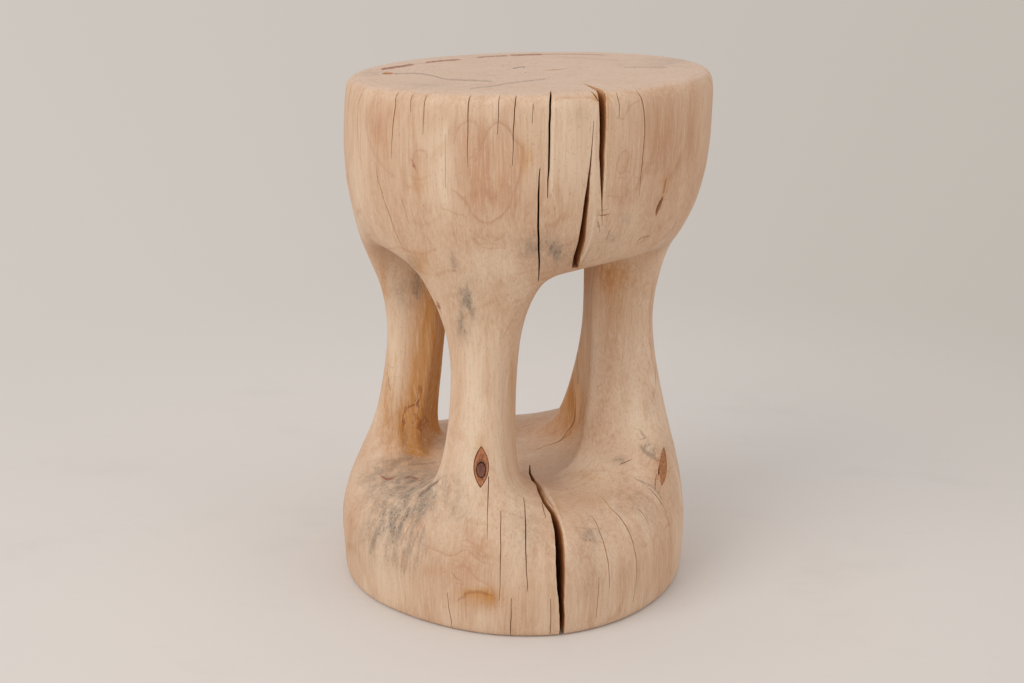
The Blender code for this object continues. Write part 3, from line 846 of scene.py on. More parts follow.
BASE_CRACKS = (
    Crack("base_check_head", depth=CHECK_DEPTH, opening=Opening.END, path=(
        (529.7, 465, 0.8), (530.1, 473.3, 2.4), (534.7, 481.7, 5.6), (540, 492, 6.4), (545.2, 502.8, 6.2),
        (552.8, 513.3, 6.3), (556.1, 522.4, 8.2), (558.4, 532, 8.8), (559.5, 539.3, 9.6), (560.3, 560, 9.8),
        (560.8, 574.3, 9.8), (561, 588.4, 8.4), (561.7, 602.4, 5.9), (562.2, 616.4, 6.0), (562, 628, 5.4),
    )),
    Crack("base_crack_1", path=(
        (488.5, 476.5, 0.9), (488, 495.8, 1.0), (487.3, 518.2, 0.6), (487.3, 539.3, 0.4),
    )),
    Crack("base_crack_2", path=(
        (500.7, 511.2, 0.6), (500.7, 546.3, 0.8), (500.2, 581.4, 0.7), (499.3, 601, 0.4),
    )),
    Crack("base_crack_3", path=(
        (523.5, 497.2, 0.7), (525.2, 511.2, 1.0), (525.6, 546.3, 1.0), (526.6, 571.5, 0.8),
        (527.6, 591.2, 0.5),
    )),
    Crack("base_crack_4", opening=Opening.END, path=(
        (511.5, 598.2, 0.5), (510.9, 616.4, 0.8), (510.5, 630, 0.8),
    )),
    Crack("base_crack_5", opening=Opening.END, path=(
        (447.3, 592.6, 0.5), (448.7, 608, 0.8), (451.6, 622, 0.8),
    )),
    Crack("base_crack_6", opening=Opening.END, path=(
        (550.5, 598.9, 0.5), (551, 616.4, 0.7), (550.5, 628, 0.7),
    )),
    Crack("base_crack_7", path=(
        (602.4, 497.9, 0.5), (610.8, 508.4, 0.8), (620.7, 518.2, 1.0), (629.1, 532.2, 1.0),
        (634, 546.3, 0.9), (636.1, 560.3, 0.8), (636.8, 574.3, 0.6), (632.6, 604, 0.4),
    )),
    Crack("base_crack_8", path=(
        (591.2, 515.4, 0.5), (598.2, 528, 0.8), (603.8, 543.5, 0.9), (608, 561.7, 0.8), (609.4, 588.4, 0.4),
    )),
    Crack("base_crack_9", path=((636.8, 507.7, 0.5), (643.1, 514, 0.7), (648.7, 525.2, 0.4))),
    Crack("base_crack_10", path=(
        (648.7, 488, 0.7), (657.2, 497, 0.8), (664.2, 508, 0.8), (668.5, 522.4, 0.7), (671, 544, 0.4),
    )),
    Crack("base_crack_11", path=((598.9, 577.2, 0.5), (597.5, 602.4, 0.7), (596.1, 618, 0.6))),
    Crack("base_crack_12", path=((631.9, 459.3, 0.6), (619.3, 464.6, 0.6))),
    Crack("crease_crack", depth=CRACK_DEPTH, path=(
        (577.3, 384, 0.5), (577, 400, 1.0), (576, 415, 2.0), (574, 424, 3.6), (570.5, 431, 4.6),
        (565, 436, 3.4), (560.5, 440.5, 2.6), (553, 443.5, 1.6), (544.5, 446, 1.0), (536, 450, 0.9),
        (528, 450.3, 0.4),
    )),
    Crack("right_leg_crack", path=((655, 364, 0.5), (655.6, 372, 1.8), (655.2, 384, 0.6))),
    Crack("base_crack_13", path=((438.9, 481, 0.6), (429.8, 487.3, 0.8), (419.3, 496.5, 0.5))),
)
SPLINTERS = (
    Crack("rim_splinter_1", path=((591, 91.5, 0.7), (595, 95.5, 1.6), (598.5, 101, 1.0))),
    Crack("rim_splinter_2", path=((600.5, 91, 0.8), (601.5, 94.5, 1.4), (602.3, 99, 1.0))),
    Crack("rim_splinter_3", path=((604.6, 93, 0.6), (606, 97.5, 1.2), (606.3, 104, 0.4))),
    Crack("foot_knot_crack", path=(
        (660.4, 461, 0.6), (659.6, 466, 2.4), (659, 471, 3.0), (658.6, 475, 2.0), (657.6, 480, 0.6),
    )),
    Crack("splinter_1", path=((541.5, 488, 0.5), (544.5, 495, 1.2), (549, 502, 1.2), (554, 508, 0.5))),
    Crack("splinter_2", path=((541.8, 502, 0.6), (543.5, 509, 1.2), (545.6, 518, 0.5))),
)
HIDDEN_CRACKS = (
    HiddenCrack("back_crack_1", depth=CRACK_DEPTH, opening=Opening.START, path=(
        (178, 2.97, 1.6), (178.5, 2.6, 1.6), (179.5, 2.35, 0.9), (180.5, 2.2, 0.4),
    )),
    HiddenCrack("back_crack_2", opening=Opening.START, path=(
        (150, 2.97, 0.9), (149.5, 2.75, 1.0), (149.8, 2.5, 0.5),
    )),
    HiddenCrack("back_crack_3", opening=Opening.START, path=(
        (205, 2.97, 1.0), (205.6, 2.7, 0.9), (205.2, 2.45, 0.4),
    )),
    HiddenCrack("back_crack_4", opening=Opening.START, path=(
        (238, 2.97, 0.8), (237.5, 2.8, 0.8), (237.8, 2.65, 0.4),
    )),
    HiddenCrack("back_crack_5", opening=Opening.START, path=(
        (108, 2.97, 1.0), (108.6, 2.75, 1.1), (108.2, 2.5, 0.9), (107.6, 2.3, 0.4),
    )),
    HiddenCrack("back_crack_6", opening=Opening.START, path=(
        (82, 2.97, 0.8), (81.6, 2.8, 0.7), (81.8, 2.66, 0.4),
    )),
    HiddenCrack("back_crack_7", opening=Opening.START, path=(
        (-72, 2.97, 0.9), (-72.6, 2.78, 0.9), (-72.2, 2.6, 0.4),
    )),
    HiddenCrack("back_crack_8", depth=CRACK_DEPTH, opening=Opening.END, path=(
        (188, 0.8, 0.6), (187.4, 0.5, 1.6), (187.8, 0.25, 1.8), (188, 0.04, 1.8),
    )),
    HiddenCrack("back_crack_9", path=((128, 0.75, 0.5), (127.5, 0.45, 0.9), (127.8, 0.2, 0.5))),
    HiddenCrack("back_crack_10", opening=Opening.END, path=(
        (222, 0.7, 0.5), (222.6, 0.4, 0.9), (222.2, 0.04, 0.9),
    )),
    HiddenCrack("back_crack_11", path=((-80, 0.6, 0.5), (-79.6, 0.35, 0.8), (-80, 0.12, 0.5))),
    HiddenCrack("back_crack_12", path=((104, 1.8, 0.4), (103.6, 1.6, 0.7), (104, 1.4, 0.4))),
)


class Tone(Enum):
    """What a mark does to the wood. The value names the attribute that holds how strongly it does so."""

    MOULD = "mould"
    ROSE = "rose"
    GOLD = "gold"
    # Pale wood's own tone, and also painted light where shade falls
    CREAM = "cream"


class Line(Enum):
    """What a drawn line is. The value begins the names of the attributes for its side and its strength."""

    FIGURE = "figure_line"
    DARK = "dark_line"
    # Painted highlights: pale lines along the lips of cracks and a block's edge, where light catches them
    PALE = "pale_line"
    BARK = "bark_line"

    @property
    def side(self) -> str:
        """The attribute that says how far to the line's right a point lies, in the line's half widths."""
        return f"{self.value}_side"

    @property
    def strength(self) -> str:
        """The attribute that says how strongly the line shows there."""
        return f"{self.value}_strength"


@dataclass(frozen=True)
class Stroke:
    """A thin line in the wood: its half width in photo pixels, its strength, and the pixels of its path."""

    half_width: float
    strength_share: float
    path: tuple[Pixel, ...]
    closed: bool = False

    def rounded(self) -> np.ndarray:
        """The path with its corners cut, one pixel a row, ending where it starts if it is closed."""
        points = np.array(self.path, dtype=float)
        for _ in range(CORNER_CUTS):
            onward = np.roll(points, -1, axis=0)
            step = (onward - points) * CORNER_CUT_SHARE
            cut = np.stack((points + step, onward - step), axis=1).reshape(-1, 2)
            points = cut if self.closed else np.vstack((points[:1], cut[:-2], points[-1:]))
        return np.vstack((points, points[:1])) if self.closed else points

    def sides(self, pixels: np.ndarray) -> np.ndarray:
        """How far pixels lie from the path, less than zero on its left.

        Args:
            pixels: the pixels, one a row.

        Returns:
            The distance of each.
        """
        path = self.rounded()
        runs = path[1:] - path[:-1]
        offsets = pixels[:, None] - path[None, :-1]
        squares = np.maximum((runs**2).sum(axis=1), LEAST_SQUARE)
        along = np.clip((offsets * runs).sum(axis=2) / squares, 0, 1)
        lengths = np.linalg.norm(offsets - along[..., None] * runs, axis=2)
        nearest = lengths.argmin(axis=1)
        rows = np.arange(len(pixels))
        offset, run = offsets[rows, nearest], runs[nearest]
        return lengths[rows, nearest] * np.where(run[:, 0] * offset[:, 1] < run[:, 1] * offset[:, 0], -1, 1)


@dataclass(frozen=True)
class Mark:
    """A soft patch of a tone, placed and sized in photo pixels, and turned by an angle in degrees."""

    column: float
    row: float
    half_width: float
    half_height: float
    strength_share: float
    turn: float = 0.0

    def shares_at(self, pixels: np.ndarray) -> np.ndarray:
        """How strongly the patch shows at pixels, one a row."""
        turn = math.radians(self.turn)
        offset = pixels - np.array((self.column, self.row))
        across = offset[:, 0] * math.cos(turn) + offset[:, 1] * math.sin(turn)
        along = offset[:, 1] * math.cos(turn) - offset[:, 0] * math.sin(turn)
        shape = (across / self.half_width) ** 2 + (along / self.half_height) ** 2
        return self.strength_share * np.exp(-shape)


MARKS = {
    Tone.MOULD: (
        Mark(547, 234, 8, 9, 0.6), Mark(550, 250, 13, 9, 0.9), Mark(572, 252, 22, 9, 0.5),
        Mark(528, 246, 9, 13, 0.5), Mark(624, 220, 5, 7, 0.8), Mark(608, 236, 10, 7, 0.4),
        Mark(412, 262, 9, 7, 0.4), Mark(417, 286, 5, 14, 0.9), Mark(403, 292, 9, 16, 0.35),
        Mark(455, 263, 2.6, 9, 1.0, -12), Mark(467, 302, 9, 20, 1.0), Mark(463, 326, 8, 14, 0.7),
        Mark(418, 499, 18, 9, 1.0, -38), Mark(406, 509, 17, 12, 1.0, -25), Mark(389, 519, 12, 12, 0.8, -25),
        Mark(405, 480, 30, 12, 0.85), Mark(374, 494, 14, 22, 0.4), Mark(408, 544, 26, 26, 0.4),
        Mark(372, 540, 14, 28, 0.35), Mark(455, 512, 16, 20, 0.3), Mark(452, 482, 10, 14, 0.35),
        Mark(590, 536, 10, 17, 0.7, 20), Mark(634, 500, 32, 22, 0.35), Mark(618, 461, 8, 4, 0.8),
        Mark(524, 530, 20, 26, 0.35), Mark(588, 575, 14, 22, 0.25), Mark(400, 462, 26, 4, 0.5),
        Mark(650, 402, 5, 14, 0.35), Mark(655, 450, 14, 8, 0.35), Mark(666, 62, 32, 5, 0.35),
        Mark(430, 85, 24, 3, 0.3), Mark(371, 73, 10, 3, 0.35), Mark(580, 112, 12, 10, 0.25),
        Mark(414, 502, 26, 18, 0.75, -30), Mark(396, 535, 28, 30, 0.26), Mark(556, 262, 18, 6, 0.65),
    ),
    Tone.ROSE: (
        Mark(655, 150, 62, 90, 0.5), Mark(487, 165, 34, 52, 0.34), Mark(475, 570, 34, 30, 0.35),
        Mark(380, 132, 12, 27, 0.85, -10), Mark(390, 112, 9, 12, 0.5), Mark(418, 160, 9, 12, 0.6),
        Mark(430, 120, 12, 18, 0.3), Mark(463, 152, 9, 34, 0.45), Mark(487, 146, 22, 26, 0.55),
        Mark(480, 186, 12, 24, 0.85), Mark(512, 186, 6, 26, 0.75), Mark(496, 205, 18, 14, 0.45),
        Mark(519, 153, 5, 14, 0.6), Mark(484, 238, 18, 14, 0.4), Mark(624, 162, 8, 14, 0.4),
        Mark(620, 196, 12, 12, 0.45), Mark(655, 128, 13, 34, 0.55), Mark(672, 150, 10, 40, 0.45),
        Mark(692, 130, 7, 48, 0.65), Mark(350.5, 528, 2.5, 18, 1.0), Mark(430, 570, 14, 9, 0.55),
        Mark(471, 532, 5, 7, 0.75), Mark(481, 545, 9, 8, 0.65), Mark(462, 570, 28, 24, 0.4),
        Mark(484, 602, 16, 10, 0.65), Mark(512, 370, 5, 46, 0.3), Mark(497, 300, 14, 26, 0.35),
        Mark(608, 300, 13, 40, 0.25), Mark(598, 388, 10, 30, 0.25), Mark(545, 425, 26, 9, 0.35),
        Mark(586, 455, 18, 7, 0.2), Mark(582, 497, 20, 18, 0.25), Mark(660, 560, 10, 30, 0.35),
    ),
    Tone.GOLD: (
        Mark(430, 350, 14, 110, 1.0), Mark(424, 390, 17, 60, 1.0), Mark(414, 432, 20, 26, 0.75),
        Mark(613, 296, 15, 34, 0.4), Mark(524, 158, 5, 20, 0.6), Mark(480, 597, 20, 9, 0.7),
        Mark(570, 405, 12, 30, 0.5), Mark(416, 425, 20, 30, 0.75), Mark(420, 262, 9, 12, 0.6),
        Mark(383, 285, 3, 24, 0.6), Mark(387, 400, 6, 60, 0.5), Mark(613, 272, 22, 16, 0.6),
        Mark(600, 97, 7, 5, 1.0), Mark(606.5, 130, 2.2, 38, 0.9), Mark(419, 183, 7, 9, 0.4),
        Mark(500, 180, 5, 26, 0.25), Mark(531, 158, 2, 12, 0.5), Mark(665, 186, 2.5, 9, 0.8),
        Mark(577, 262, 4, 8, 0.8), Mark(589, 477, 18, 6, 0.35), Mark(662, 466, 7, 17, 0.6),
        Mark(481, 450, 5, 12, 0.6), Mark(512, 380, 3, 40, 0.5), Mark(476, 592.5, 12, 3, 1.0),
        Mark(491, 598, 4, 6, 0.8), Mark(556, 515, 4, 14, 0.7),
    ),
    # Pale wood, and painted light that brightens the right leg's reveal and the base's top, where shade falls
    Tone.CREAM: (
        Mark(445, 170, 6.5, 46, 1.0), Mark(445, 165, 4.5, 36, 1.0), Mark(490, 268, 30, 26, 0.7),
        Mark(590, 330, 12, 62, 1.0), Mark(588, 380, 14, 40, 0.8), Mark(584, 474, 34, 13, 0.8),
        Mark(524, 150, 11, 48, 0.6), Mark(395, 352, 10, 64, 0.6), Mark(512, 372, 6, 40, 0.5),
        Mark(582, 466, 30, 18, 0.7), Mark(560, 455, 30, 14, 0.5), Mark(640, 425, 26, 26, 0.7),
        Mark(574, 150, 20, 52, 0.6), Mark(593, 160, 4, 50, 0.8), Mark(633, 166, 4.5, 22, 0.8),
        Mark(359, 200, 6, 50, 0.4), Mark(515, 560, 10, 44, 0.5), Mark(475, 400, 14, 70, 0.7),
        Mark(390, 570, 26, 30, 0.35), Mark(634, 395, 7, 40, 0.6), Mark(396, 340, 8, 50, 0.4),
    ),
}
STROKES = {
    Line.FIGURE: (
        Stroke(0.8, 0.55, path=(
            (455, 139), (457.5, 129), (464, 122.5), (470, 120), (475, 121), (479, 129), (477.5, 142),
            (474.3, 152),
        )),
        Stroke(0.9, 0.8, path=(
            (476.7, 158), (483, 142), (489.5, 128), (497.5, 121.3), (505.4, 124.5), (511.8, 134),
            (515, 142), (519.8, 143.7), (523.8, 150), (521.4, 161), (519.8, 177), (513.4, 193),
            (508.6, 209), (499, 217.8), (489.5, 223.4), (480, 221.8), (472, 213.8), (466.4, 201),
            (457.6, 193),
        )),
        Stroke(0.6, 0.5, ((446.4, 209), (454.4, 213.8), (462.4, 215.4))),
        Stroke(0.7, 0.5, ((473, 231.5), (483, 240.5), (496, 241.8), (503, 237))),
        Stroke(0.6, 0.4, ((470, 236.5), (480, 247.3), (490, 249.5), (500, 248))),
        Stroke(0.9, 0.45, ((366.5, 108), (365.5, 124), (368.5, 142), (375, 157), (384, 168), (392, 177))),
        Stroke(0.7, 0.6, ((413.5, 160), (414.5, 152), (420, 149.5), (426, 151.5), (427, 156))),
        Stroke(0.7, 0.4, ((411, 176), (415, 180), (421, 180.5), (427, 177))),
        Stroke(0.6, 0.6, ((620, 118.8), (623.7, 120.2), (625.8, 115), (629, 108), (633, 104), (639, 101))),
        Stroke(0.6, 0.65, closed=True, path=(
            (625.7, 149), (620.3, 153.6), (617, 163), (617, 172.4), (620.3, 175.7), (625.7, 169.7),
            (629, 160), (629, 152),
        )),
        Stroke(0.7, 0.4, ((612, 190), (623, 190), (631, 182), (636, 167), (637, 150))),
        Stroke(0.7, 0.45, ((610, 196), (623, 198), (633, 192), (640, 182))),
        Stroke(0.9, 0.5, path=(
            (644.4, 163), (650, 165.7), (656.5, 160), (660.5, 151), (665.8, 144), (668.5, 133.5),
            (669, 118),
        )),
        Stroke(0.9, 0.35, ((645, 171), (652, 176), (660, 168), (664.5, 160), (671, 148), (675, 130))),
        Stroke(0.8, 0.5, ((553, 106), (554.5, 100.5), (560, 98), (592, 97.5), (597, 100.5))),
        Stroke(0.8, 0.7, path=(
            (431, 549), (441, 552), (449.4, 557), (456.5, 555), (463.5, 549.3), (470.5, 551.4),
            (476, 557.7), (481.7, 562.6), (490, 564),
        )),
        Stroke(0.8, 0.6, ((463.5, 541), (469, 539.4), (474.7, 546.5), (480.3, 552), (488, 555))),
        Stroke(0.9, 0.6, path=(
            (453.7, 569), (462, 565.4), (469, 568), (472, 574.5), (477.5, 580), (486, 583), (491.5, 588.6),
            (495.7, 597), (494.3, 605.4),
        )),
        Stroke(0.8, 0.3, ((447, 586), (456, 575.5), (461, 577), (462, 590))),
        Stroke(0.9, 0.3, ((556, 480), (575, 472), (600, 470), (625, 474))),
        Stroke(0.8, 0.3, ((620, 486), (640, 492), (655, 503))),
        Stroke(0.9, 0.6, path=(
            (653.5, 282), (650.5, 300), (649.2, 316), (649.6, 336), (651, 352), (654.4, 371),
        )),
    ),
    Line.DARK: (
        Stroke(0.55, 0.6, path=(
            (392, 74), (408, 73), (427, 74), (437, 77), (445.5, 79.5), (461, 80), (491.5, 81.4),
        )),
        Stroke(0.5, 0.55, path=(
            (469.7, 88.6), (479.4, 87.4), (488, 86.8), (496.4, 85.6), (503.6, 83.8), (512, 82.8),
            (531, 80.4), (545, 79.2),
        )),
        Stroke(0.45, 0.8, ((506, 70.7), (513.3, 68), (525, 66.6))),
        Stroke(0.6, 0.4, ((623, 67.4), (644, 66.8), (668, 67.5))),
        Stroke(0.5, 0.25, ((560, 57), (590, 58.5), (620, 60.5))),
        Stroke(2.4, 0.45, ((393.5, 466), (398, 462), (404, 458), (410, 457))),
        Stroke(2.2, 0.4, ((376.5, 469), (383, 471.5), (391, 470))),
        Stroke(0.6, 0.5, ((410, 464.5), (424, 464), (436, 462.5))),
        Stroke(0.9, 0.6, ((418, 497.5), (428, 488), (438.5, 480.5))),
        Stroke(0.9, 0.5, ((641.4, 432.8), (648.4, 440), (655.5, 454))),
        Stroke(1.5, 0.6, ((642.8, 449), (648.4, 455), (657, 459.5))),
        Stroke(0.7, 0.55, ((635.7, 479), (642.8, 482), (655.4, 488), (661, 497.3))),
        Stroke(0.6, 0.45, ((577.2, 353), (577.6, 372), (577.8, 386), (577.8, 400))),
        Stroke(0.6, 0.6, ((387.6, 372), (388.5, 380), (389.5, 390))),
        Stroke(0.5, 0.7, ((597.6, 221), (597.2, 229))),
        Stroke(0.5, 0.7, ((599.5, 223), (599.2, 230))),
        Stroke(1.6, 0.4, ((386, 520), (376, 533), (370, 552))),
        Stroke(1.6, 0.4, ((402, 524), (396, 540), (393, 562))),
        Stroke(1.4, 0.35, ((415, 522), (409, 540), (405, 570))),
        Stroke(1.2, 0.3, ((424, 528), (419, 545), (417, 562))),
        Stroke(2.2, 0.35, ((404, 430), (404.6, 453))),
    ),
    Line.BARK: (
        Stroke(0.8, 1.0, ((381.5, 69.2), (393, 67.6), (402, 66.1), (414, 64.3))),
        Stroke(0.6, 0.9, ((425, 62.6), (436, 61.3), (448, 60.3), (461, 59.5))),
        Stroke(0.5, 0.8, ((477, 57.4), (490, 56.4), (507, 55.6))),
        Stroke(0.6, 0.9, ((511, 55.4), (526, 54.8), (542, 54.3))),
        Stroke(0.4, 0.5, ((545, 54.2), (575, 54), (606, 55))),
        Stroke(1.3, 1.0, ((417, 400), (417.6, 406))),
        Stroke(1.5, 0.8, ((406, 408), (404.4, 413))),
        Stroke(1.5, 0.8, ((404, 421), (403.2, 426))),
        Stroke(1.1, 0.8, ((416, 424), (419, 429))),
        Stroke(1.0, 0.7, ((419.5, 420), (423, 425))),
        Stroke(0.9, 0.5, ((424.5, 416.5), (427.5, 421))),
        Stroke(1.0, 0.6, ((420.5, 386), (421, 394))),
        Stroke(1.2, 0.8, ((437, 303), (439.5, 309))),
        Stroke(0.9, 0.8, ((383, 477), (388, 480), (394, 477.5))),
        Stroke(0.7, 0.7, ((406, 478), (411, 476), (417, 479))),
        Stroke(0.6, 0.8, ((656, 476.3), (655, 486))),
        Stroke(0.6, 0.6, ((666, 178), (664.5, 187), (663.5, 194))),
        Stroke(0.5, 0.9, ((602, 215.3), (606, 214.8))),
        Stroke(1.2, 0.45, ((466, 593.8), (474, 591.6), (482, 592), (488, 594.5))),
        Stroke(1.0, 0.4, ((461, 598.5), (464.5, 597))),
        Stroke(1.2, 0.7, ((413, 164.5), (414.2, 166.5))),
        Stroke(0.8, 0.6, ((455.3, 577.5), (456.3, 578.5))),
    ),
    # Painted highlights along the lit lips of cracks and along a block's edge
    Line.PALE: (
        Stroke(1.1, 0.9, ((553.5, 104), (553, 130), (552.3, 160), (551.5, 190))),
        Stroke(1.0, 0.7, ((594.5, 215), (591.5, 235), (586, 252), (578.5, 263))),
        Stroke(0.9, 0.6, ((606, 96), (607, 130), (605.5, 170), (604.5, 190))),
        Stroke(1.1, 0.6, ((545, 488), (553, 503), (561, 520), (566, 545))),
    ),
}


@dataclass(frozen=True)
class KnotShape:
    """An encased knot's line and outline: its aim is at a share of the reach of what carries it.

    Pointedness 0 is an oval, 1 a lens. The drop is how far down the wood's face the knot lies from the aim.
    """

    azimuth: float
    carrier_reach: float
    aim_reach_share: float
    aim_height_share: float
    rise: float
    width: float
    length: float
    tilt: float
    pointedness: float
    drop: float = 0.0


FRONT_KNOT = KnotShape(
    azimuth=-13.7,
    carrier_reach=FRONT_LEG_REACH,
    aim_reach_share=1.08,
    aim_height_share=1.218,
    rise=14,
    width=FRONT_KNOT_WIDTH,
    length=FRONT_KNOT_LENGTH,
    tilt=2,
    pointedness=0.8,
)
FRONT_KNOT_CORE = replace(
    FRONT_KNOT, width=KNOT_CORE_WIDTH, length=KNOT_CORE_LENGTH, pointedness=0.0, drop=KNOT_CORE_DROP
)
FOOT_KNOT = KnotShape(
    azimuth=69,
    carrier_reach=RIGHT_LEG_REACH,
    aim_reach_share=1.136,
    aim_height_share=1.074,
    rise=35,
    width=FOOT_KNOT_WIDTH,
    length=FOOT_KNOT_LENGTH,
    tilt=-49,
    pointedness=0.6,
)
RIM_KNOT = KnotShape(
    azimuth=-88.3,
    carrier_reach=LOG_RADIUS,
    aim_reach_share=0.75,
    aim_height_share=3,
    rise=90,
    width=RIM_KNOT_WIDTH,
    length=RIM_KNOT_LENGTH,
    tilt=90,
    pointedness=0.0,
)


class KnotSeat:
    """Where a knot meets the wood's face, with its outward, upward and sideways directions."""

    def __init__(self, shape: KnotShape, surface: Surface) -> None:
        """Finds where the knot's line comes out of the wood."""
        self.shape = shape
        self.surface = surface
        level = radial(shape.azimuth)
        rise = math.radians(shape.rise)
        self.outward = level * math.cos(rise) + Vector((0, 0, math.sin(rise)))
        self.upward = Vector((0, 0, math.cos(rise))) - level * math.sin(rise)
        self.upward.rotate(Matrix.Rotation(math.radians(shape.tilt), 3, self.outward))
        self.sideways = self.upward.cross(self.outward)
        aim_reach = shape.aim_reach_share * shape.carrier_reach
        aim = polar(shape.azimuth, aim_reach, height_of(shape.aim_height_share))
        face, _, _, _ = surface.tree.ray_cast(aim + self.outward * LOG_RADIUS, -self.outward)
        self.face = face - self.upward * shape.drop

    def outline(self, angle: float, margin: float = 0.0) -> Vector:
        """The outline's offset from the knot's line at an angle, grown by a margin."""
        cosine = math.cos(angle)
        across = (self.shape.width / 2 + margin) * cosine * abs(cosine) ** self.shape.pointedness
        return self.sideways * across + self.upward * (self.shape.length / 2 + margin) * math.sin(angle)

    def on_face(self, offset: Vector) -> Vector:
        """The point of the wood's face over an offset from the knot's line."""
        start = self.face + offset + self.outward * LOG_RADIUS
        point, _, _, _ = self.surface.tree.ray_cast(start, -self.outward)
        return self.face + offset if point is None else point

    def add_pocket(self, bm: bmesh.types.BMesh, sides: int) -> None:
        """Adds the plug that cuts this knot's pocket to a mesh."""
        reaches = (-KNOT_DEPTH - KNOT_GAP, KNOT_OVERRUN)

        def ring_made(verts: list[bmesh.types.BMVert], index: int) -> None:
            """Places one end's points."""
            for side, vert in enumerate(verts):
                offset = self.outline(2 * math.pi * side / sides, KNOT_GAP)
                vert.co = self.face + offset + self.outward * reaches[index]

        extrude_rings(bm, sides, len(reaches), ring_made)


@dataclass(frozen=True)
class KnotRing:
    """A ring of a knot's skin: its share of the outline's size, and how far it lies under the wood's face."""

    size_share: float
    sink: float
    around: KnotSeat


class Socket:
    """A number that varies over a surface, with the arithmetic of the shader's Math nodes."""

    def __init__(self, bench: "Bench", output: bpy.types.NodeSocket) -> None:
        """Wraps an output socket of a material that is being made."""
        self.bench = bench
        self.output = output

    def math(self, operation: str, *others: "float | Socket", flipped: bool = False) -> "Socket":
        """One Math node.

        Args:
            operation: the node's operation.
            others: the operands after this one.
            flipped: whether this one comes last instead of first.

        Returns:
            The node's value.
        """
        operands = [self, *others]
        if flipped:
            operands.reverse()
        node = self.bench.node("ShaderNodeMath", {"operation": operation}, dict(enumerate(operands)))
        return Socket(self.bench, node.outputs[0])

    def __add__(self, other: "float | Socket") -> "Socket":
        """The sum."""
        return self.math("ADD", other)

    def __sub__(self, other: "float | Socket") -> "Socket":
        """The difference."""
        return self.math("SUBTRACT", other)

    def __rsub__(self, other: "float | Socket") -> "Socket":
        """The difference from a number."""
        return self.math("SUBTRACT", other, flipped=True)

    def __mul__(self, other: "float | Socket") -> "Socket":
        """The product."""
        return self.math("MULTIPLY", other)

    def __truediv__(self, other: "float | Socket") -> "Socket":
        """The quotient."""
        return self.math("DIVIDE", other)

    __radd__ = __add__
    __rmul__ = __mul__

    def between(self, low: float, high: float) -> "Socket":
        """0 at and below low, 1 at and above high, smooth between them; low may be the greater one."""
        inputs = {0: self, 1: low, 2: high, 3: 0.0, 4: 1.0}
        node = self.bench.node("ShaderNodeMapRange", {"interpolation_type": "SMOOTHSTEP"}, inputs)
        return Socket(self.bench, node.outputs[0])

    def swing(self, reach: float) -> "Socket":
        """A noise between 0 and 1 turned into one about zero, whose ends lie a reach apart."""
        return (self - NOISE_MIDDLE) * reach


@dataclass(frozen=True)
class Mask:
    """How a pattern becomes a mask: it starts to show at low and shows at full strength from high on."""

    low: float
    high: float
    strength: float = 1.0

    def of(self, pattern: Socket) -> Socket:
        """The mask of a pattern."""
        shown = pattern.between(self.low, self.high)
        return shown if self.strength == 1.0 else shown * self.strength


@dataclass(frozen=True)
class Clouds:
    """Soft noise: its waves to a metre, its finer layers and how rough they make it.

    The y and z scales multiply the first along one axis: less than 1 draws the noise out along it.
    """

    scale: float
    layers: float = 2.0
    roughness: float = 0.5
    y_scale: float = 1.0
    z_scale: float = 1.0


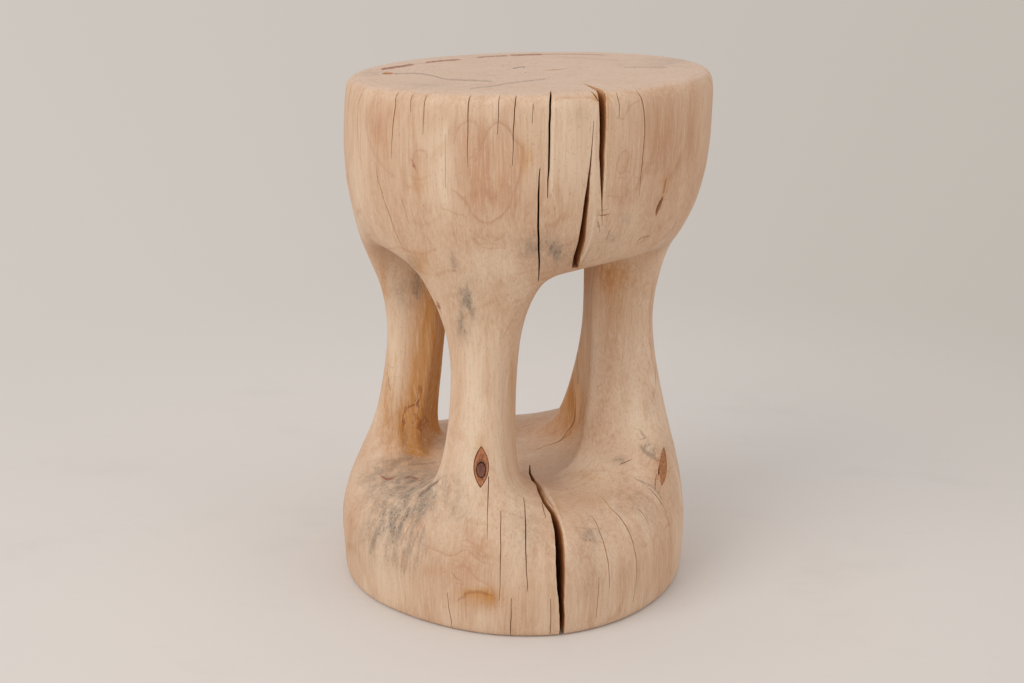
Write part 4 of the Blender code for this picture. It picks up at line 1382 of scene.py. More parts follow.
class Bench:
    """The node tree of a new material or sky, and the one way in which nodes are put on it."""

    mix_factor, mix_first, mix_second, mix_result = 0, 6, 7, 2

    def __init__(self, name: str, of_sky: bool = False) -> None:
        """Makes an empty material, or an empty sky."""
        self.home = (bpy.data.worlds if of_sky else bpy.data.materials).new(name)
        self.home.use_nodes = True
        self.tree = self.home.node_tree
        self.tree.nodes.clear()

    def node(self, kind: str, settings: dict[str, Any], inputs: dict[int | str, Any]) -> bpy.types.Node:
        """Adds a node.

        Args:
            kind: the node's type.
            settings: its own settings, set first.
            inputs: the values of its sockets, or the sockets or Sockets that they are linked to.

        Returns:
            The node.
        """
        node = self.tree.nodes.new(kind)
        for name, value in settings.items():
            setattr(node, name, value)
        for key, value in inputs.items():
            value = value.output if isinstance(value, Socket) else value
            if isinstance(value, bpy.types.NodeSocket):
                self.tree.links.new(value, node.inputs[key])
            elif isinstance(value, tuple) and node.inputs[key].type == "RGBA":
                node.inputs[key].default_value = (*value, 1.0)
            else:
                node.inputs[key].default_value = value
        return node

    def position(self) -> bpy.types.NodeSocket:
        """The object coordinates."""
        return self.node("ShaderNodeTexCoord", {}, {}).outputs["Object"]

    def axes(self, place: bpy.types.NodeSocket) -> list[Socket]:
        """The x, y and z of coordinates."""
        return [Socket(self, output) for output in self.node("ShaderNodeSeparateXYZ", {}, {0: place}).outputs]

    def attribute(self, name: str) -> Socket:
        """An attribute of the piece."""
        return Socket(self, self.node("ShaderNodeAttribute", {"attribute_name": name}, {}).outputs["Fac"])

    def clouds(self, place: bpy.types.NodeSocket, pattern: Clouds) -> Socket:
        """Soft noise between 0 and 1.

        Args:
            place: the coordinates that it is read at.
            pattern: its scale and layers.

        Returns:
            The noise.
        """
        stretch = (1.0, pattern.y_scale, pattern.z_scale)
        if stretch != (1.0, 1.0, 1.0):
            scaled = self.node("ShaderNodeVectorMath", {"operation": "MULTIPLY"}, {0: place, 1: stretch})
            place = scaled.outputs[0]
        inputs = {"Scale": pattern.scale, "Detail": pattern.layers, "Roughness": pattern.roughness}
        noise_node = self.node("ShaderNodeTexNoise", {}, {"Vector": place, **inputs})
        return Socket(self, noise_node.outputs["Fac"])

    def blend(self, factor: Any, first: Any, second: Any, way: str = "MIX") -> bpy.types.NodeSocket:
        """One colour laid over another.

        Args:
            factor: how strongly.
            first: the colour under it.
            second: the colour laid over.
            way: how the two are blended.

        Returns:
            The blended colour.
        """
        settings = {"data_type": "RGBA", "blend_type": way, "clamp_factor": True}
        inputs = {self.mix_factor: factor, self.mix_first: first, self.mix_second: second}
        return self.node("ShaderNodeMix", settings, inputs).outputs[self.mix_result]

    def bump(self, height: Socket, strength: float, distance: float) -> bpy.types.NodeSocket:
        """A normal that makes a height look raised."""
        inputs = {"Height": height, "Strength": strength, "Distance": distance}
        return self.node("ShaderNodeBump", {}, inputs).outputs["Normal"]

    def finished(self, colour: Any, roughness: Any, normal: Any, gloss: float) -> bpy.types.Material:
        """Ends the material with its Principled shader.

        Args:
            colour: its base colour.
            roughness: its roughness.
            normal: its bumped normal.
            gloss: its specular level.

        Returns:
            The material.
        """
        inputs = {"Base Color": colour, "Roughness": roughness, "Normal": normal, "Specular IOR Level": gloss}
        shader = self.node("ShaderNodeBsdfPrincipled", {}, inputs)
        self.node("ShaderNodeOutputMaterial", {}, {"Surface": shader.outputs[0]})
        return self.home


@dataclass(frozen=True)
class WoodFinish:
    """Sanded, unvarnished wood: its tones, its patterns, and how strongly each of them shows."""

    pale: Colour = (0.615, 0.423, 0.283)
    # This pale tone is the wood's own, and also that of painted light and painted highlights
    cream: Colour = (0.700, 0.530, 0.375)
    rose: Colour = (0.510, 0.290, 0.170)
    gold: Colour = (0.490, 0.225, 0.062)
    shadow_tone: Colour = (0.80, 0.66, 0.54)
    figure_tone: Colour = (0.430, 0.220, 0.125)
    bark_tone: Colour = (0.250, 0.070, 0.022)
    dark_tone: Colour = (0.120, 0.080, 0.055)
    mould_wash: Colour = (0.245, 0.185, 0.132)
    mould_dark: Colour = (0.100, 0.072, 0.050)
    end_tone: Colour = (0.600, 0.425, 0.310)
    end_strength: float = 0.75

    fibre: Clouds = Clouds(620.0, 3.0, 0.6, z_scale=0.05)
    fibre_shade: Mask = Mask(0.48, 0.70, 0.38)
    fibre_light: Mask = Mask(0.48, 0.30, 0.34)
    streak: Clouds = Clouds(170.0, 3.0, 0.6, z_scale=0.06)
    streak_shade: Mask = Mask(0.48, 0.72, 0.36)
    pore: Clouds = Clouds(1100.0, 2.0, 0.6, z_scale=0.30)
    pore_shade: Mask = Mask(0.60, 0.72, 0.34)
    pore_pit: Mask = Mask(0.60, 0.80, 0.50)
    patch: Clouds = Clouds(13.0, z_scale=0.35)
    patch_rose: Mask = Mask(0.42, 0.68, 0.42)
    band: Clouds = Clouds(42.0, z_scale=0.07)
    band_rose: Mask = Mask(0.48, 0.68, 0.34)
    band_cream: Mask = Mask(0.48, 0.32, 0.42)
    ragged: Clouds = Clouds(60.0, 4.0, 0.6, z_scale=0.25)
    ragged_gain: float = 0.90
    streak_gain: float = 0.80
    least_tone: float = 0.55

    ring_drift: Clouds = Clouds(9.0, z_scale=0.42)
    ring_drift_reach: float = 0.030
    ring_waver: Clouds = Clouds(70.0, z_scale=0.5)
    ring_waver_reach: float = 0.0020
    ring_patches: Clouds = Clouds(30.0, 3.0, z_scale=0.6)
    ring_patch_shown: Mask = Mask(0.42, 0.68)
    ring_start: Mask = Mask(0.72, 0.93)
    ring_end: Mask = Mask(1.0, 0.93)
    ring_shade: float = 0.50

    blotch: Clouds = Clouds(85.0, 3.0, 0.6, z_scale=0.5)
    blotch_wash: Mask = Mask(0.34, 0.62, 0.60)
    blotch_specks: Mask = Mask(0.36, 0.56)
    run: Clouds = Clouds(190.0, 3.0, 0.6, z_scale=0.12)
    run_wash: Mask = Mask(0.42, 0.66, 0.50)
    least_wash: float = 0.10
    wash_strength: float = 0.78
    speckle: Clouds = Clouds(620.0, 4.0, 0.75, z_scale=0.55)
    speckle_shown: Mask = Mask(0.50, 0.64)
    speckle_strength: float = 0.85

    line_wobble: Clouds = Clouds(240.0, 3.0)
    line_wobble_reach: float = 1.6
    line_breaks: Clouds = Clouds(330.0, 3.0)
    line_breaks_shown: Mask = Mask(0.30, 0.55, 0.60)
    least_line: float = 0.40
    line_edge: Mask = Mask(1.9, 0.5)
    figure_line_strength: float = 0.50
    figure_wash_side: Mask = Mask(-7.0, 0.0)
    figure_wash_edge: Mask = Mask(1.5, 0.0, 0.40)
    figure_strength: float = 0.90
    dark_strength: float = 0.75

    roughness: float = 0.62
    fibre_roughness: float = 0.20
    ring_roughness: float = 0.05
    gloss: float = 0.35
    fibre_height: float = 0.50
    streak_height: float = 0.40
    ring_groove: float = 0.35
    bump_strength: float = 0.35
    bump_depth: float = 0.0004

    def make(self, name: str) -> bpy.types.Material:
        """Makes the material.

        Args:
            name: the material's name.

        Returns:
            The material.
        """
        bench = Bench(name)
        place = bench.position()
        rings = self.rings(bench, place)
        fibre, streak, pore = (bench.clouds(place, item) for item in (self.fibre, self.streak, self.pore))
        colour = self.ground(bench, place, streak)
        for shade in (rings * self.ring_shade, self.streak_shade.of(streak), self.fibre_shade.of(fibre)):
            colour = bench.blend(shade, colour, self.shadow_tone, "MULTIPLY")
        colour = bench.blend(self.fibre_light.of(fibre), colour, self.cream)
        colour = bench.blend(self.pore_shade.of(pore), colour, self.dark_tone)
        colour = self.lined(bench, place, self.stained(bench, place, colour))
        raised = fibre * self.fibre_height + streak * self.streak_height - rings * self.ring_groove
        normal = bench.bump(raised - self.pore_pit.of(pore), self.bump_strength, self.bump_depth)
        roughness = fibre.swing(self.fibre_roughness) + rings * self.ring_roughness + self.roughness
        return bench.finished(colour, roughness, normal, self.gloss)

    def rings(self, bench: Bench, place: bpy.types.NodeSocket) -> Socket:
        """Thin lines where growth rings about the leaning pith come to the surface, strong only in places."""
        x, y, z = bench.axes(place)
        from_pith_x = x - (z * (PITH_LEAN / STOOL_HEIGHT) + PITH_X)
        from_pith_y = y - PITH_Y
        radius = (from_pith_x * from_pith_x + from_pith_y * from_pith_y).math("SQRT")
        drift = bench.clouds(place, self.ring_drift).swing(self.ring_drift_reach)
        waver = bench.clouds(place, self.ring_waver).swing(self.ring_waver_reach)
        phase = ((radius + drift + waver) / RING_SPACING).math("FRACT")
        late_wood = self.ring_start.of(phase) * self.ring_end.of(phase)
        return late_wood * self.ring_patch_shown.of(bench.clouds(place, self.ring_patches))

    def ground(self, bench: Bench, place: bpy.types.NodeSocket, streak: Socket) -> bpy.types.NodeSocket:
        """The wood's colour before its fibres: pale, with bands and patches of other tones and painted light.

        Args:
            bench: the material's bench.
            place: the object coordinates.
            streak: the streaks along the grain.

        Returns:
            The colour.
        """
        patch, band = bench.clouds(place, self.patch), bench.clouds(place, self.band)
        ragged = bench.clouds(place, self.ragged) * self.ragged_gain + self.least_tone
        gilded = streak * self.streak_gain + self.least_tone
        colour = self.pale
        for factor, tone in (
            (self.patch_rose.of(patch), self.rose),
            (self.band_rose.of(band), self.rose),
            (self.band_cream.of(band), self.cream),
            # Pale wood marks, which in places are painted light
            (bench.attribute(Tone.CREAM.value) * ragged, self.cream),
            (bench.attribute(Tone.ROSE.value) * ragged, self.rose),
            (bench.attribute(Tone.GOLD.value) * gilded, self.gold),
            (bench.attribute(END_GRAIN) * self.end_strength, self.end_tone),
        ):
            colour = bench.blend(factor, colour, tone)
        return colour

    def stained(
        self, bench: Bench, place: bpy.types.NodeSocket, colour: bpy.types.NodeSocket
    ) -> bpy.types.NodeSocket:
        """The colour with a grey wash and black specks where the wood is mouldy."""
        grey = bench.attribute(Tone.MOULD.value)
        blotch, run, speckle = (bench.clouds(place, item) for item in (self.blotch, self.run, self.speckle))
        wash = grey * (self.blotch_wash.of(blotch) + self.run_wash.of(run) + self.least_wash)
        specks = grey * self.speckle_shown.of(speckle) * self.blotch_specks.of(blotch)
        colour = bench.blend(wash * self.wash_strength, colour, self.mould_wash)
        return bench.blend(specks * self.speckle_strength, colour, self.mould_dark)

    def lined(
        self, bench: Bench, place: bpy.types.NodeSocket, colour: bpy.types.NodeSocket
    ) -> bpy.types.NodeSocket:
        """The colour with the drawn lines over it. A figure line has a soft wash on its left."""
        wobble = bench.clouds(place, self.line_wobble).swing(self.line_wobble_reach)
        broken = self.line_breaks_shown.of(bench.clouds(place, self.line_breaks)) + self.least_line
        tones = {
            Line.FIGURE: (self.figure_tone, self.figure_strength),
            Line.DARK: (self.dark_tone, self.dark_strength),
            Line.BARK: (self.bark_tone, 1.0),
            # Painted highlights take the lightest wood tone
            Line.PALE: (self.cream, 1.0),
        }
        for line, (tone, strength) in tones.items():
            side = bench.attribute(line.side) + wobble
            shown = self.line_edge.of(side.math("ABSOLUTE"))
            if line is Line.FIGURE:
                wash = self.figure_wash_side.of(side) * self.figure_wash_edge.of(side)
                shown = shown * self.figure_line_strength + wash
            shown = shown * bench.attribute(line.strength) * broken
            colour = bench.blend(shown * strength, colour, tone)
        return colour


@dataclass(frozen=True)
class TornFinish:
    """The torn wood in cracks and pockets: wood-coloured lips, orange fibres, dark painted shade further in.
    """

    lip: Colour = (0.640, 0.380, 0.200)
    fibre: Colour = (0.470, 0.200, 0.070)
    # The deep tone is painted shade: the darkness far inside a crack
    deep: Colour = (0.095, 0.030, 0.011)
    strand: Clouds = Clouds(420.0, 4.0, 0.7, z_scale=0.08)
    fibre_fray: float = 0.50
    fibre_shown: Mask = Mask(0.0, 0.30)
    painted_shade_fray: float = 0.35
    painted_shade_shown: Mask = Mask(0.28, 1.25)
    roughness: float = 0.85
    gloss: float = 0.20
    bump_strength: float = 0.8
    bump_depth: float = 0.0012

    def make(self, name: str) -> bpy.types.Material:
        """Makes the material.

        Args:
            name: the material's name.

        Returns:
            The material.
        """
        bench = Bench(name)
        strand = bench.clouds(bench.position(), self.strand)
        inside = bench.attribute(INSIDE)
        fibrous = self.fibre_shown.of(inside + strand.swing(self.fibre_fray))
        # Painted shade, darker the deeper in the wood
        deep = self.painted_shade_shown.of(inside + strand.swing(self.painted_shade_fray))
        colour = bench.blend(deep, bench.blend(fibrous, self.lip, self.fibre), self.deep)
        normal = bench.bump(strand, self.bump_strength, self.bump_depth)
        return bench.finished(colour, self.roughness, normal, self.gloss)


@dataclass(frozen=True)
class KnotFinish:
    """A knot's own wood or bark: rings about its line, blots of darkness, and a dark seam round it."""

    light: Colour
    dark: Colour
    seam: Colour = (0.150, 0.055, 0.026)
    rings: float = 5.0
    ring_waver: float = 1.2
    ring_shade: Mask = Mask(0.50, 0.95, 0.30)
    grain: Clouds = Clouds(520.0, 4.0, 0.7, z_scale=0.35)
    grain_shade: Mask = Mask(0.38, 0.68, 0.60)
    blot: Clouds = Clouds(260.0, 3.0, 0.6)
    blot_shade: Mask = Mask(0.58, 0.70, 0.60)
    seam_fray: float = 0.30
    seam_shown: Mask = Mask(0.90, 1.06, 0.90)
    roughness: float = 0.7
    grain_roughness: float = 0.3
    gloss: float = 0.3
    ring_height: float = 0.4
    bump_strength: float = 0.6
    bump_depth: float = 0.0007

    def make(self, name: str) -> bpy.types.Material:
        """Makes the material.

        Args:
            name: the material's name.

        Returns:
            The material.
        """
        bench = Bench(name)
        place = bench.position()
        rim = bench.attribute(FROM_CENTRE)
        grain, blot = bench.clouds(place, self.grain), bench.clouds(place, self.blot)
        turned = (rim * self.rings + grain.swing(self.ring_waver)).math("FRACT")
        colour = bench.blend(self.grain_shade.of(grain) + self.ring_shade.of(turned), self.light, self.dark)
        colour = bench.blend(self.blot_shade.of(blot), colour, self.seam)
        colour = bench.blend(self.seam_shown.of(rim + grain.swing(self.seam_fray)), colour, self.seam)
        normal = bench.bump(grain + turned * self.ring_height, self.bump_strength, self.bump_depth)
        return bench.finished(colour, grain.swing(self.grain_roughness) + self.roughness, normal, self.gloss)


BARK_FINISH = KnotFinish(light=(0.440, 0.175, 0.075), dark=(0.260, 0.085, 0.035))
CORE_FINISH = KnotFinish(
    light=(0.210, 0.080, 0.048), dark=(0.085, 0.030, 0.020), seam=(0.020, 0.010, 0.008), rings=3.0
)
FOOT_FINISH = KnotFinish(
    light=(0.460, 0.195, 0.078), dark=(0.190, 0.060, 0.022), seam=(0.130, 0.045, 0.020), rings=7.0
)
RIM_FINISH = KnotFinish(light=(0.520, 0.190, 0.070), dark=(0.260, 0.075, 0.030), rings=3.0)


def ramp(values: np.ndarray, low: float, high: float) -> np.ndarray:
    """0 at and before low, 1 at and beyond high, straight between them; low may be the greater one."""
    return np.clip((values - low) / (high - low), 0, 1)


class CarvedBody:
    """The whole carving in one piece of wood: seat, legs and base, with its cracks and its stains."""

    name = "carved_stool_body"
    sharp_degrees = 40.0
    farthest_side = 14.0
    fade_start, fade_end = 4.0, 8.0
    full_facing = 0.5
    heart_gold = 0.45
    end_grain_start, end_grain_full = 0.75, 0.95
    top_start_share, top_full_share = 2.9, 2.95

    def __init__(self, camera: PhotoCamera, materials: Sequence[bpy.types.Material]) -> None:
        """Builds the smooth uncut carving.

        Args:
            camera: the photograph's camera.
            materials: the wood's material, and that of the torn wood inside cracks.
        """
        self.camera = camera
        self.materials = materials
        self.item = mesh_object(self.name, StoolCage().bm)
        smoothing = self.item.modifiers.new("smoothing", "SUBSURF")
        smoothing.levels = smoothing.render_levels = SMOOTHING_LEVELS
        applied(self.item)
        self.carve_by_hand()
        self.surface = Surface(self.item, camera)
        self.lay_material(self.item.data, 0)
        self.item.data.polygons.foreach_set("use_smooth", [True] * len(self.item.data.polygons))

    def carve_by_hand(self) -> None:
        """Gives the surface, but not its flat foot, the shallow waves that hand carving and sanding leave."""
        mesh = self.item.data
        points, normals = self.arrays()
        for index, (place, normal) in enumerate(zip(points, normals)):
            foot = min(1.0, place[2] / FLAT_FOOT_HEIGHT)
            wave = FACET_DEPTH * noise.noise(Vector(place) / FACET_LENGTH)
            ripple = RIPPLE_DEPTH * noise.noise(Vector(place) / RIPPLE_LENGTH)
            points[index] = place + normal * ((wave + ripple) * foot)
        mesh.vertices.foreach_set("co", points.ravel())
        mesh.update()

    def arrays(self) -> tuple[np.ndarray, np.ndarray]:
        """The places and the outward normals of the mesh's vertices, one a row."""
        mesh = self.item.data
        points, normals = np.empty(len(mesh.vertices) * 3), np.empty(len(mesh.vertices) * 3)
        mesh.vertices.foreach_get("co", points)
        mesh.vertex_normals.foreach_get("vector", normals)
        return points.reshape(-1, 3), normals.reshape(-1, 3)

    def lay_material(self, mesh: bpy.types.Mesh, index: int) -> None:
        """Gives a mesh both materials, and all its faces the one with this index."""
        mesh.materials.clear()
        for material in self.materials:
            mesh.materials.append(material)
        mesh.polygons.foreach_set("material_index", [index] * len(mesh.polygons))

    @staticmethod
    def apply_boolean(item: bpy.types.Object, operation: str, **settings: Any) -> None:
        """Applies an exact Boolean to an object.

        Args:
            item: the object.
            operation: what it does.
            settings: its other settings.
        """
        modifier = item.modifiers.new(operation.lower(), "BOOLEAN")
        modifier.operation, modifier.solver = operation, "EXACT"
        for name, value in settings.items():
            setattr(modifier, name, value)
        applied(item)

    def cut(self, cracks: Iterable[Crack], seats: Iterable[KnotSeat]) -> None:
        """Cuts the cracks and the knots' pockets, whose blades are first joined where they cross.

        Args:
            cracks: the cracks.
            seats: where the knots sit.
        """
        bm = bmesh.new()
        for crack in cracks:
            CrackBlade(crack, self.surface).add_to(bm)
        for seat in seats:
            seat.add_pocket(bm, KnotPiece.sides)
        blades = mesh_object("blades", bm)
        self.apply_boolean(blades, "UNION", operand_type="COLLECTION", use_self=True)
        self.lay_material(blades.data, 1)
        self.apply_boolean(self.item, "DIFFERENCE", object=blades, material_mode="INDEX")
        bpy.data.objects.remove(blades)
        self.item.data.set_sharp_from_angle(angle=math.radians(self.sharp_degrees))

    def add_attribute(self, name: str, values: np.ndarray, low: float = 0.0, high: float = 1.0) -> None:
        """Stores a number from low to high for each vertex."""
        layer = self.item.data.attributes.new(name, "FLOAT", "POINT")
        layer.data.foreach_set("value", np.clip(values, low, high).astype(np.float32))

    def draw(self, strokes: dict[Line, tuple[Stroke, ...]]) -> None:
        """Stores how far the drawn lines lie from each vertex, and how strongly they show there.

        Args:
            strokes: the strokes of each kind of line.
        """
        points, normals = self.arrays()
        pixels = self.camera.pixels_of(points)
        facing = np.sum(normals * (np.array(self.camera.location) - points), axis=1) > 0
        for line in Line:
            sides, strengths = np.full(len(points), self.farthest_side), np.zeros(len(points))
            for stroke in strokes[line]:
                chosen = self.vertices_near(stroke, points, pixels, facing)
                side = stroke.sides(pixels[chosen]) / stroke.half_width
                nearer = np.abs(side) < np.abs(sides[chosen])
                chosen, side = chosen[nearer], side[nearer]
                sides[chosen] = side
                shown = ramp(np.abs(side) * stroke.half_width, self.fade_end, self.fade_start)
                strengths[chosen] = stroke.strength_share * shown
            self.add_attribute(line.side, sides, -self.farthest_side, self.farthest_side)
            self.add_attribute(line.strength, strengths)

    def vertices_near(
        self, stroke: Stroke, points: np.ndarray, pixels: np.ndarray, facing: np.ndarray
    ) -> np.ndarray:
        """The vertices that a stroke may reach, both in the photograph and over the wood.

        Args:
            stroke: the stroke.
            points: the vertices' places.
            pixels: where they appear in the photograph.
            facing: which of them face its camera.

        Returns:
            Their numbers.
        """
        path = np.array(stroke.path)
        margin = self.farthest_side * max(stroke.half_width, 1.0)
        near = np.all((pixels > path.min(axis=0) - margin) & (pixels < path.max(axis=0) + margin), axis=1)
        chosen = np.flatnonzero(near & facing)
        laid = np.array([self.surface.seen_at(pixel)[0] for pixel in stroke.path])
        gaps = np.linalg.norm(points[chosen, None] - laid[None], axis=2).min(axis=1)
        return chosen[gaps < STROKE_REACH]

    def paint(self, marks: dict[Tone, tuple[Mark, ...]]) -> None:
        """Stores the wood's other tones and painted light, where it is end grain, and how deep inside it is.

        Args:
            marks: the marks of each tone.
        """
        points, normals = self.arrays()
        pixels = self.camera.pixels_of(points)
        heights = points[:, 2]
        totals = {tone: np.zeros(len(points)) for tone in Tone}
        for tone, patches in marks.items():
            for mark in patches:
                centre, normal = self.surface.seen_at((mark.column, mark.row))
                gaps = np.linalg.norm(points - np.array(centre), axis=1)
                near = np.exp(-((gaps / MARK_REACH) ** MARK_EDGE_POWER))
                facing = ramp(normals @ np.array(normal), 0.0, self.full_facing)
                totals[tone] += mark.shares_at(pixels) * near * facing

        level = points[:, :2].copy()
        level[:, 0] -= SEAT_LEAN * (heights / STOOL_HEIGHT - 0.5)
        lengths = np.maximum(np.linalg.norm(level, axis=1), LEAST_LENGTH)
        inward = np.clip(-np.sum(level * normals[:, :2], axis=1) / lengths, 0, 1)
        waist = (heights > BASE_HEIGHT) & (heights < STOOL_HEIGHT - SEAT_DEPTH)
        totals[Tone.GOLD] += self.heart_gold * inward * waist
        for tone, total in totals.items():
            self.add_attribute(tone.value, total)
        flat = ramp(np.abs(normals[:, 2]), self.end_grain_start, self.end_grain_full)
        top = ramp(heights, height_of(self.top_start_share), height_of(self.top_full_share))
        self.add_attribute(END_GRAIN, flat * top)
        # How far in each point lies, which the torn wood's painted shade follows
        inside = [self.surface.tree.find_nearest(place)[3] for place in points]
        self.add_attribute(INSIDE, np.array(inside) / KNOT_HOLE_DEPTH)


class KnotPiece:
    """One encased knot: a plug in its pocket, with a sunken, ridged face that follows the wood's.

    Its rings run from the inner end over the edge to the middle of the face. Each is a share of the outline
    and a depth under the wood's face. A knot that holds a core has a socket in the middle of its face.
    """

    sides = 32
    sharp_degrees = 50.0
    edge_rings = ((1.0, KNOT_DEPTH / 2), (1.0, 3 * KNOT_SINK))
    face_shares = (0.97, 0.86, 0.7, 0.52, 0.34, 0.16)
    faces_round_core = 2
    socket_rings = ((1.22, KNOT_SINK), (1.10, 2 * KNOT_SINK), (1.08, KNOT_DEPTH / 2), (0.6, KNOT_DEPTH / 2))
    ridge_density = 3 / KNOT_CORE_WIDTH
    ridge_seed = 7

    def __init__(
        self, name: str, seat: KnotSeat, depth: float = KNOT_DEPTH, core: KnotSeat | None = None
    ) -> None:
        """Builds the knot.

        Args:
            name: the piece's name.
            seat: where it sits in the wood.
            depth: how deep its inner end lies.
            core: the seat of another knot that sits in this one.
        """
        rings = [KnotRing(share, sink, seat) for share, sink in ((1.0, depth), *self.edge_rings)]
        face = [KnotRing(share, KNOT_SINK, seat) for share in self.face_shares]
        if core:
            socket = [KnotRing(share, sink, core) for share, sink in self.socket_rings]
            face = face[: self.faces_round_core] + socket
        rings += face
        bm = bmesh.new()
        layer = bm.verts.layers.float.new(FROM_CENTRE)

        def ring_made(verts: list[bmesh.types.BMVert], index: int) -> None:
            """Places one ring's points on or under the wood's face."""
            ring = rings[index]
            for side, vert in enumerate(verts):
                offset = ring.around.outline(2 * math.pi * side / self.sides) * ring.size_share
                place = offset * self.ridge_density + Vector((ring.size_share, 0, self.ridge_seed))
                rough = KNOT_RELIEF * noise.noise(place)
                vert.co = ring.around.on_face(offset) - seat.outward * (ring.sink - rough)
                vert[layer] = min(1.0, ring.size_share)

        extrude_rings(bm, self.sides, len(rings), ring_made)
        self.item = mesh_object(name, bm)
        for polygon in self.item.data.polygons:
            polygon.use_smooth = True
        self.item.data.set_sharp_from_angle(angle=math.radians(self.sharp_degrees))

    def dress(self, finish: KnotFinish, node: str) -> None:
        """Gives the knot its finish and says which CAD node it stands for.

        Args:
            finish: the knot's finish.
            node: the CAD node.
        """
        self.item.data.materials.append(finish.make(f"{self.item.name}_finish"))
        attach(self.item, BODY)
        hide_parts(node)
        log.info("%s: %d faces", self.item.name, len(self.item.data.polygons))


@dataclass(frozen=True)
class Lamp:
    """A square lamp that faces the stool: its place, its side and its power in watts."""

    name: str
    place: tuple[float, float, float]
    size: float
    power: float

    def add(self, aim: tuple[float, float, float]) -> None:
        """Adds the lamp, turned towards its aim."""
        data = bpy.data.lights.new(self.name, "AREA")
        data.shape, data.size, data.energy = "SQUARE", self.size, self.power
        lamp = bpy.data.objects.new(self.name, data)
        lamp.location = self.place
        lamp.rotation_euler = (Vector(aim) - Vector(self.place)).to_track_quat("-Z", "Y").to_euler()
        bpy.context.scene.collection.objects.link(lamp)


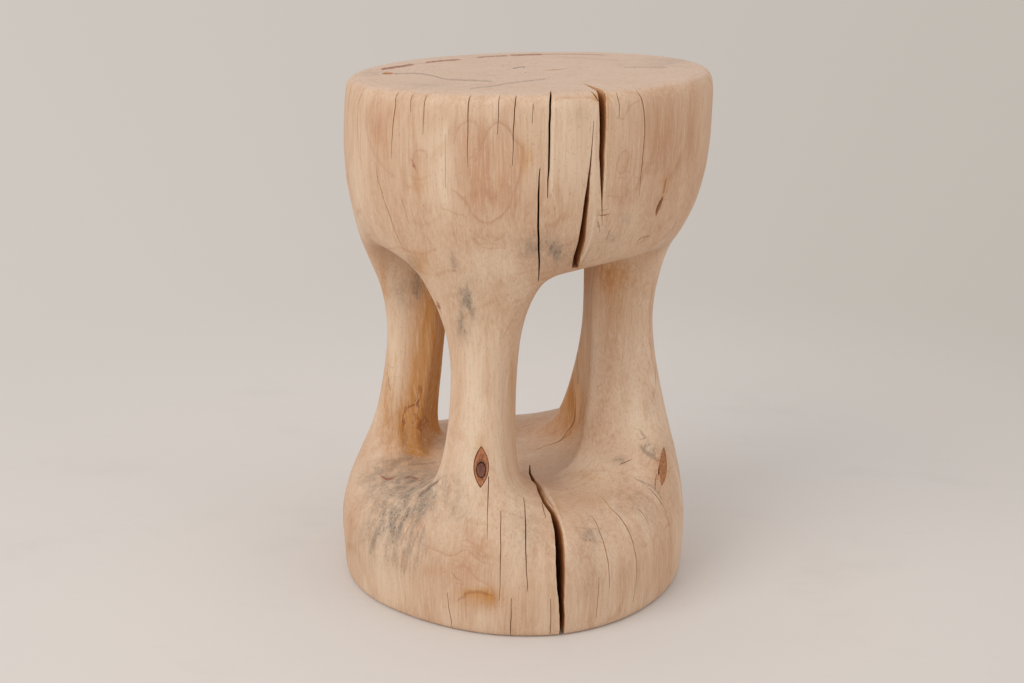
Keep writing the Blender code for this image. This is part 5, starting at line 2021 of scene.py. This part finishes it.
@dataclass(frozen=True)
class Studio:
    """A pale floor that fills the view, a large soft lamp on the left, a weak one on the right, an even sky.

    Far from the stool the floor is a pale tone, as a backdrop is, for the camera and for reflections,
    with painted shade that darkens it from left to right.
    """

    floor_size: float = 60.0
    floor_colour: Colour = (0.660, 0.600, 0.545)
    # Painted light and shade: the far tone runs from lighter on the left to darker on the right
    far_left_painted_light: Colour = (0.640, 0.590, 0.545)
    far_right_painted_shade: Colour = (0.525, 0.480, 0.432)
    near_radius: float = 0.26
    far_radius: float = 1.10
    turn_radius: float = 0.4
    turn: Mask = Mask(-0.8, 0.8)
    scuff: Clouds = Clouds(5.0, 6.0, 0.65, y_scale=1.6)
    scuff_shown: Mask = Mask(0.52, 0.75)
    scratch: Clouds = Clouds(22.0, 5.0, 0.7, y_scale=3.0)
    scratch_shown: Mask = Mask(0.60, 0.72)
    worn_share: float = 0.93
    near_scuffs: float = 0.7
    near_scratches: float = 0.5
    far_scuffs: float = 0.05
    far_scratches: float = 0.04
    roughness: float = 0.7
    gloss: float = 0.2
    sky_light: Colour = (0.750, 0.757, 0.780)
    sky_seen: Colour = (0.590, 0.545, 0.500)
    lamps: tuple[Lamp, ...] = (
        Lamp("key_lamp", (-2.3, -1.9, 2.3), 2.4, 62.0),
        Lamp("fill_lamp", (2.6, -1.4, 1.6), 2.0, 16.0),
    )
    aim: tuple[float, float, float] = (0.0, 0.0, 0.22)

    def build(self) -> None:
        """Builds the floor, the lamps and the sky."""
        bm = bmesh.new()
        bmesh.ops.create_grid(bm, x_segments=2, y_segments=2, size=self.floor_size / 2)
        floor = mesh_object("studio_floor", bm)
        floor.data.materials.append(self.floor_finish())
        for lamp in self.lamps:
            lamp.add(self.aim)
        sky = Bench("studio_sky", of_sky=True)
        rays = sky.node("ShaderNodeLightPath", {}, {})
        colour = sky.blend(rays.outputs["Is Camera Ray"], self.sky_light, self.sky_seen)
        background = sky.node("ShaderNodeBackground", {}, {"Color": colour, "Strength": 1.0})
        sky.node("ShaderNodeOutputWorld", {}, {"Surface": background.outputs[0]})
        bpy.context.scene.world = sky.home
        bpy.context.scene.view_settings.view_transform = "Standard"

    def floor_finish(self) -> bpy.types.Material:
        """Pale matt floor with faint scuffs, which turns into the far, painted-shade tone away from the
        stool.
        """
        bench = Bench("studio_floor")
        place = bench.position()
        x, y, _ = bench.axes(place)
        radius = (x * x + y * y).math("SQRT")
        scuff = self.scuff_shown.of(bench.clouds(place, self.scuff))
        scratch = self.scratch_shown.of(bench.clouds(place, self.scratch))
        worn = tuple(share * self.worn_share for share in self.floor_colour)
        wear = scuff * self.near_scuffs + scratch * self.near_scratches
        colour = bench.blend(wear, self.floor_colour, worn)
        inputs = {"Base Color": colour, "Roughness": self.roughness, "Specular IOR Level": self.gloss}
        near = bench.node("ShaderNodeBsdfPrincipled", {}, inputs)
        # Painted light and shade across the far floor: lighter on the left, darker on the right
        turned = bench.blend(self.turn.of(x / (radius + self.turn_radius)), self.far_left_painted_light, self.far_right_painted_shade)
        turned = bench.blend(scuff * self.far_scuffs + scratch * self.far_scratches, turned, worn)
        far = bench.node("ShaderNodeEmission", {}, {"Color": turned, "Strength": 1.0})
        rays = bench.node("ShaderNodeLightPath", {}, {})
        seen = Socket(bench, rays.outputs["Is Camera Ray"]) + Socket(bench, rays.outputs["Is Glossy Ray"])
        seen = (seen + Socket(bench, rays.outputs["Is Transmission Ray"])).math("MINIMUM", 1.0)
        share = radius.between(self.near_radius, self.far_radius) * seen
        mixed = bench.node("ShaderNodeMixShader", {}, {0: share, 1: near.outputs[0], 2: far.outputs[0]})
        bench.node("ShaderNodeOutputMaterial", {}, {"Surface": mixed.outputs[0]})
        return bench.home


def main() -> None:
    """Builds the stool and the studio round it."""
    logging.basicConfig(level=logging.INFO, format="%(message)s")
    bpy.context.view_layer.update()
    camera = PhotoCamera()
    camera.place()

    body = CarvedBody(camera, (WoodFinish().make("sanded_wood"), TornFinish().make("torn_wood")))
    shapes = (FRONT_KNOT, FRONT_KNOT_CORE, FOOT_KNOT, RIM_KNOT)
    front_seat, core_seat, foot_seat, rim_seat = (KnotSeat(shape, body.surface) for shape in shapes)
    body.cut([*SEAT_CRACKS, *BASE_CRACKS, *SPLINTERS, *HIDDEN_CRACKS], (front_seat, foot_seat, rim_seat))
    body.paint(MARKS)
    body.draw(STROKES)
    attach(body.item, BODY)
    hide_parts("carved_body")
    log.info("%s: %d faces", body.item.name, len(body.item.data.polygons))

    bark = KnotPiece("front_knot_bark", front_seat, core=core_seat)
    bark.dress(BARK_FINISH, "front_leg_knot_bark")
    core = KnotPiece("front_knot_core", core_seat, depth=KNOT_CORE_DEPTH)
    core.dress(CORE_FINISH, "front_leg_knot_core")
    KnotPiece("foot_knot", foot_seat).dress(FOOT_FINISH, "right_foot_knot")
    KnotPiece("top_rim_knot", rim_seat).dress(RIM_FINISH, "rim_knot")

    Studio().build()


if __name__ == "__main__":
    main()
